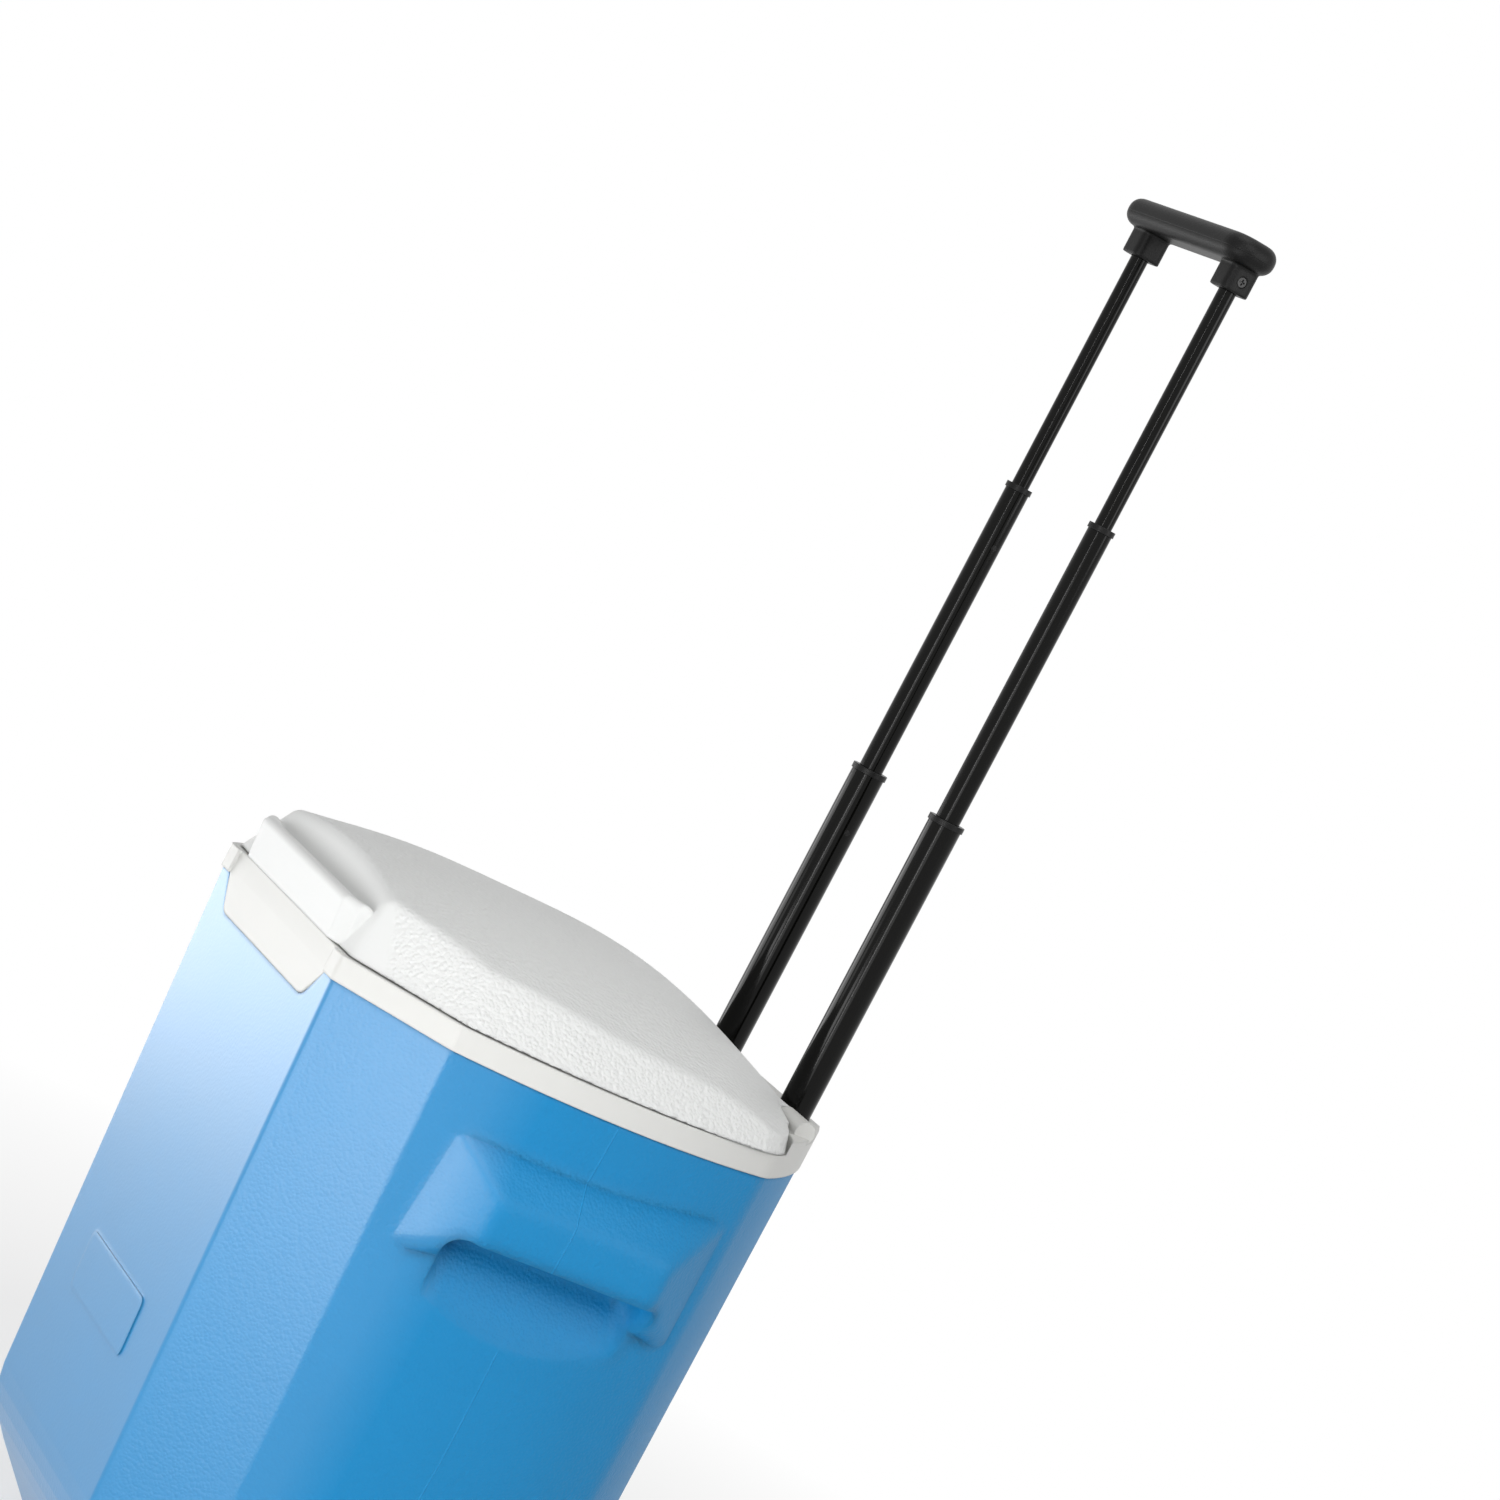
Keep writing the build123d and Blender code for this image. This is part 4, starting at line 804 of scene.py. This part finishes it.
@dataclass
class Softbox:
    """One soft studio lamp aimed at the middle of the cooler."""

    name: str
    azimuth: float
    elevation: float
    width: float
    height: float
    power: float
    distance: float = 2.4

    def build(self, aim: Vector) -> bpy.types.Object:
        """Make the lamp.

        Args:
            aim: Point that it faces, in metres.

        Returns:
            The lamp object.
        """
        lamp = bpy.data.lights.new(self.name, "AREA")
        lamp.shape = "RECTANGLE"
        lamp.size = self.width
        lamp.size_y = self.height
        lamp.energy = self.power
        piece = bpy.data.objects.new(self.name, lamp)
        turn, rise = math.radians(self.azimuth), math.radians(self.elevation)
        out = Vector((math.sin(turn) * math.cos(rise), -math.cos(turn) * math.cos(rise), math.sin(rise)))
        piece.location = aim + out * self.distance
        piece.rotation_mode = "QUATERNION"
        piece.rotation_quaternion = (-out).to_track_quat("-Z", "Y")
        piece.visible_camera = False
        bpy.context.scene.collection.objects.link(piece)
        LOG.info("lamp %s placed", self.name)
        return piece


@dataclass
class Studio:
    """Floor, world, lamps and the camera at the photograph's angle."""

    aim: Vector = field(default_factory=lambda: Vector((0.0, 0.0, 0.35)))
    floor_half_size: float = 6.0
    floor_colour: tuple[float, float, float, float] = linear(240, 240, 240)
    ambient: float = 0.14
    floor_shadow: float = 0.35
    shadow_reach: float = 0.45
    shadow_fade: float = 0.6
    camera_location: tuple[float, float, float] = (1.82637, -0.98968, 0.67959)
    camera_right: tuple[float, float, float] = (0.4017, 0.7899, 0.4633)
    camera_down: tuple[float, float, float] = (0.2823, 0.3745, -0.8832)
    camera_ahead: tuple[float, float, float] = (-0.8712, 0.4856, -0.0725)
    lens: float = 100.8
    sensor: float = 36.0
    softboxes: tuple[Softbox, ...] = (
        Softbox("lamp_chamfer", 28.9, -11.0, 0.26, 0.34, 2.1, 0.92),
        Softbox("lamp_corner", -16.0, -8.0, 0.3, 0.34, 0.6, 1.0),
        Softbox("lamp_strip", 47.0, 12.0, 0.03, 1.4, 3.0, 1.2),
        Softbox("lamp_front", -56.0, -6.0, 0.9, 0.46, 4.9, 1.2),
        Softbox("lamp_brow", 52.0, 0.0, 0.5, 0.66, 2.4, 1.2),
        Softbox("lamp_side", 84.0, 38.0, 1.2, 1.2, 17.0),
        Softbox("lamp_top", 30.0, 80.0, 1.4, 1.4, 15.5),
        Softbox("lamp_rear", 125.0, 20.0, 1.0, 1.0, 12.0),
    )

    def build(self) -> None:
        """Make the whole studio."""
        self._build_world()
        self._build_floor()
        for softbox in self.softboxes:
            softbox.build(self.aim)
        self._build_camera()

    @staticmethod
    def _seen(tree: ShaderTree) -> Value:
        """Tell a ray that shows the background from one that only lights the object.

        Args:
            tree: Tree that the nodes go into.

        Returns:
            1 where the background is seen directly, in a mirror or through glass, and 0 elsewhere.
        """
        path = tree.node("ShaderNodeLightPath")
        return (path["Is Camera Ray"] + path["Is Glossy Ray"] + path["Is Transmission Ray"]).clamped()

    def _build_world(self) -> None:
        """White world that lights the object only weakly."""
        world = bpy.data.worlds.new("studio_world")
        bpy.context.scene.world = world
        tree = ShaderTree(world)
        seen = self._seen(tree)
        strength = seen * (1.0 - self.ambient) + self.ambient
        sky = tree.node("ShaderNodeBackground", None, {"Color": WHITE, "Strength": strength})
        tree.node("ShaderNodeOutputWorld", None, {"Surface": sky["Background"]})

    def _build_floor(self) -> None:
        """Pale floor that keeps the shadow near the object and fades to white farther out."""
        mesh = bpy.data.meshes.new("floor")
        shape = bmesh.new()
        bmesh.ops.create_grid(shape, x_segments=1, y_segments=1, size=self.floor_half_size)
        shape.to_mesh(mesh)
        shape.free()
        floor = bpy.data.objects.new("floor", mesh)
        bpy.context.scene.collection.objects.link(floor)
        material = bpy.data.materials.new("floor_pale")
        tree = ShaderTree(material)
        matt = tree.node("ShaderNodeBsdfDiffuse", None, {"Color": self.floor_colour})
        glow = tree.node("ShaderNodeEmission", None, {"Color": WHITE, "Strength": 1.0})
        away = tree.length(tree.node("ShaderNodeTexCoord")["Object"])
        near = (1.0 - (away - self.shadow_reach) / self.shadow_fade).clamped()
        factor = self._seen(tree) * (1.0 - near * self.floor_shadow)
        mixed = tree.node("ShaderNodeMixShader", None, {0: factor, 1: matt["BSDF"], 2: glow["Emission"]})
        tree.node("ShaderNodeOutputMaterial", None, {"Surface": mixed["Shader"]})
        mesh.materials.append(material)

    def _build_camera(self) -> None:
        """Camera at the angle of the photograph."""
        data = bpy.data.cameras.new("photo_camera")
        data.sensor_width = self.sensor
        data.lens = self.lens
        camera = bpy.data.objects.new("photo_camera", data)
        right = Vector(self.camera_right).normalized()
        up = -Vector(self.camera_down).normalized()
        back = -Vector(self.camera_ahead).normalized()
        turn = Matrix((right, up, back)).transposed()
        camera.matrix_world = Matrix.Translation(Vector(self.camera_location)) @ turn.to_4x4()
        bpy.context.scene.collection.objects.link(camera)
        bpy.context.scene.camera = camera


def main() -> None:
    """Build the looks of the wheeled cooler."""
    logging.basicConfig(level=logging.INFO)
    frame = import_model()
    slot_of = {part["node"]: part["material_slot"] for part in frame["record"]["subparts"]}
    handle = PullHandle()
    pieces = {**frame["nodes"], "pull_grip": handle.build_grip()}
    slot_of["pull_grip"] = "grip_black"
    for sub_assembly in (Tub(), Lid(), handle, RunningGear()):
        sub_assembly.dress(pieces, slot_of)
    Studio().build()
    bpy.context.scene.view_settings.view_transform = "Standard"


if __name__ == "__main__":
    main()
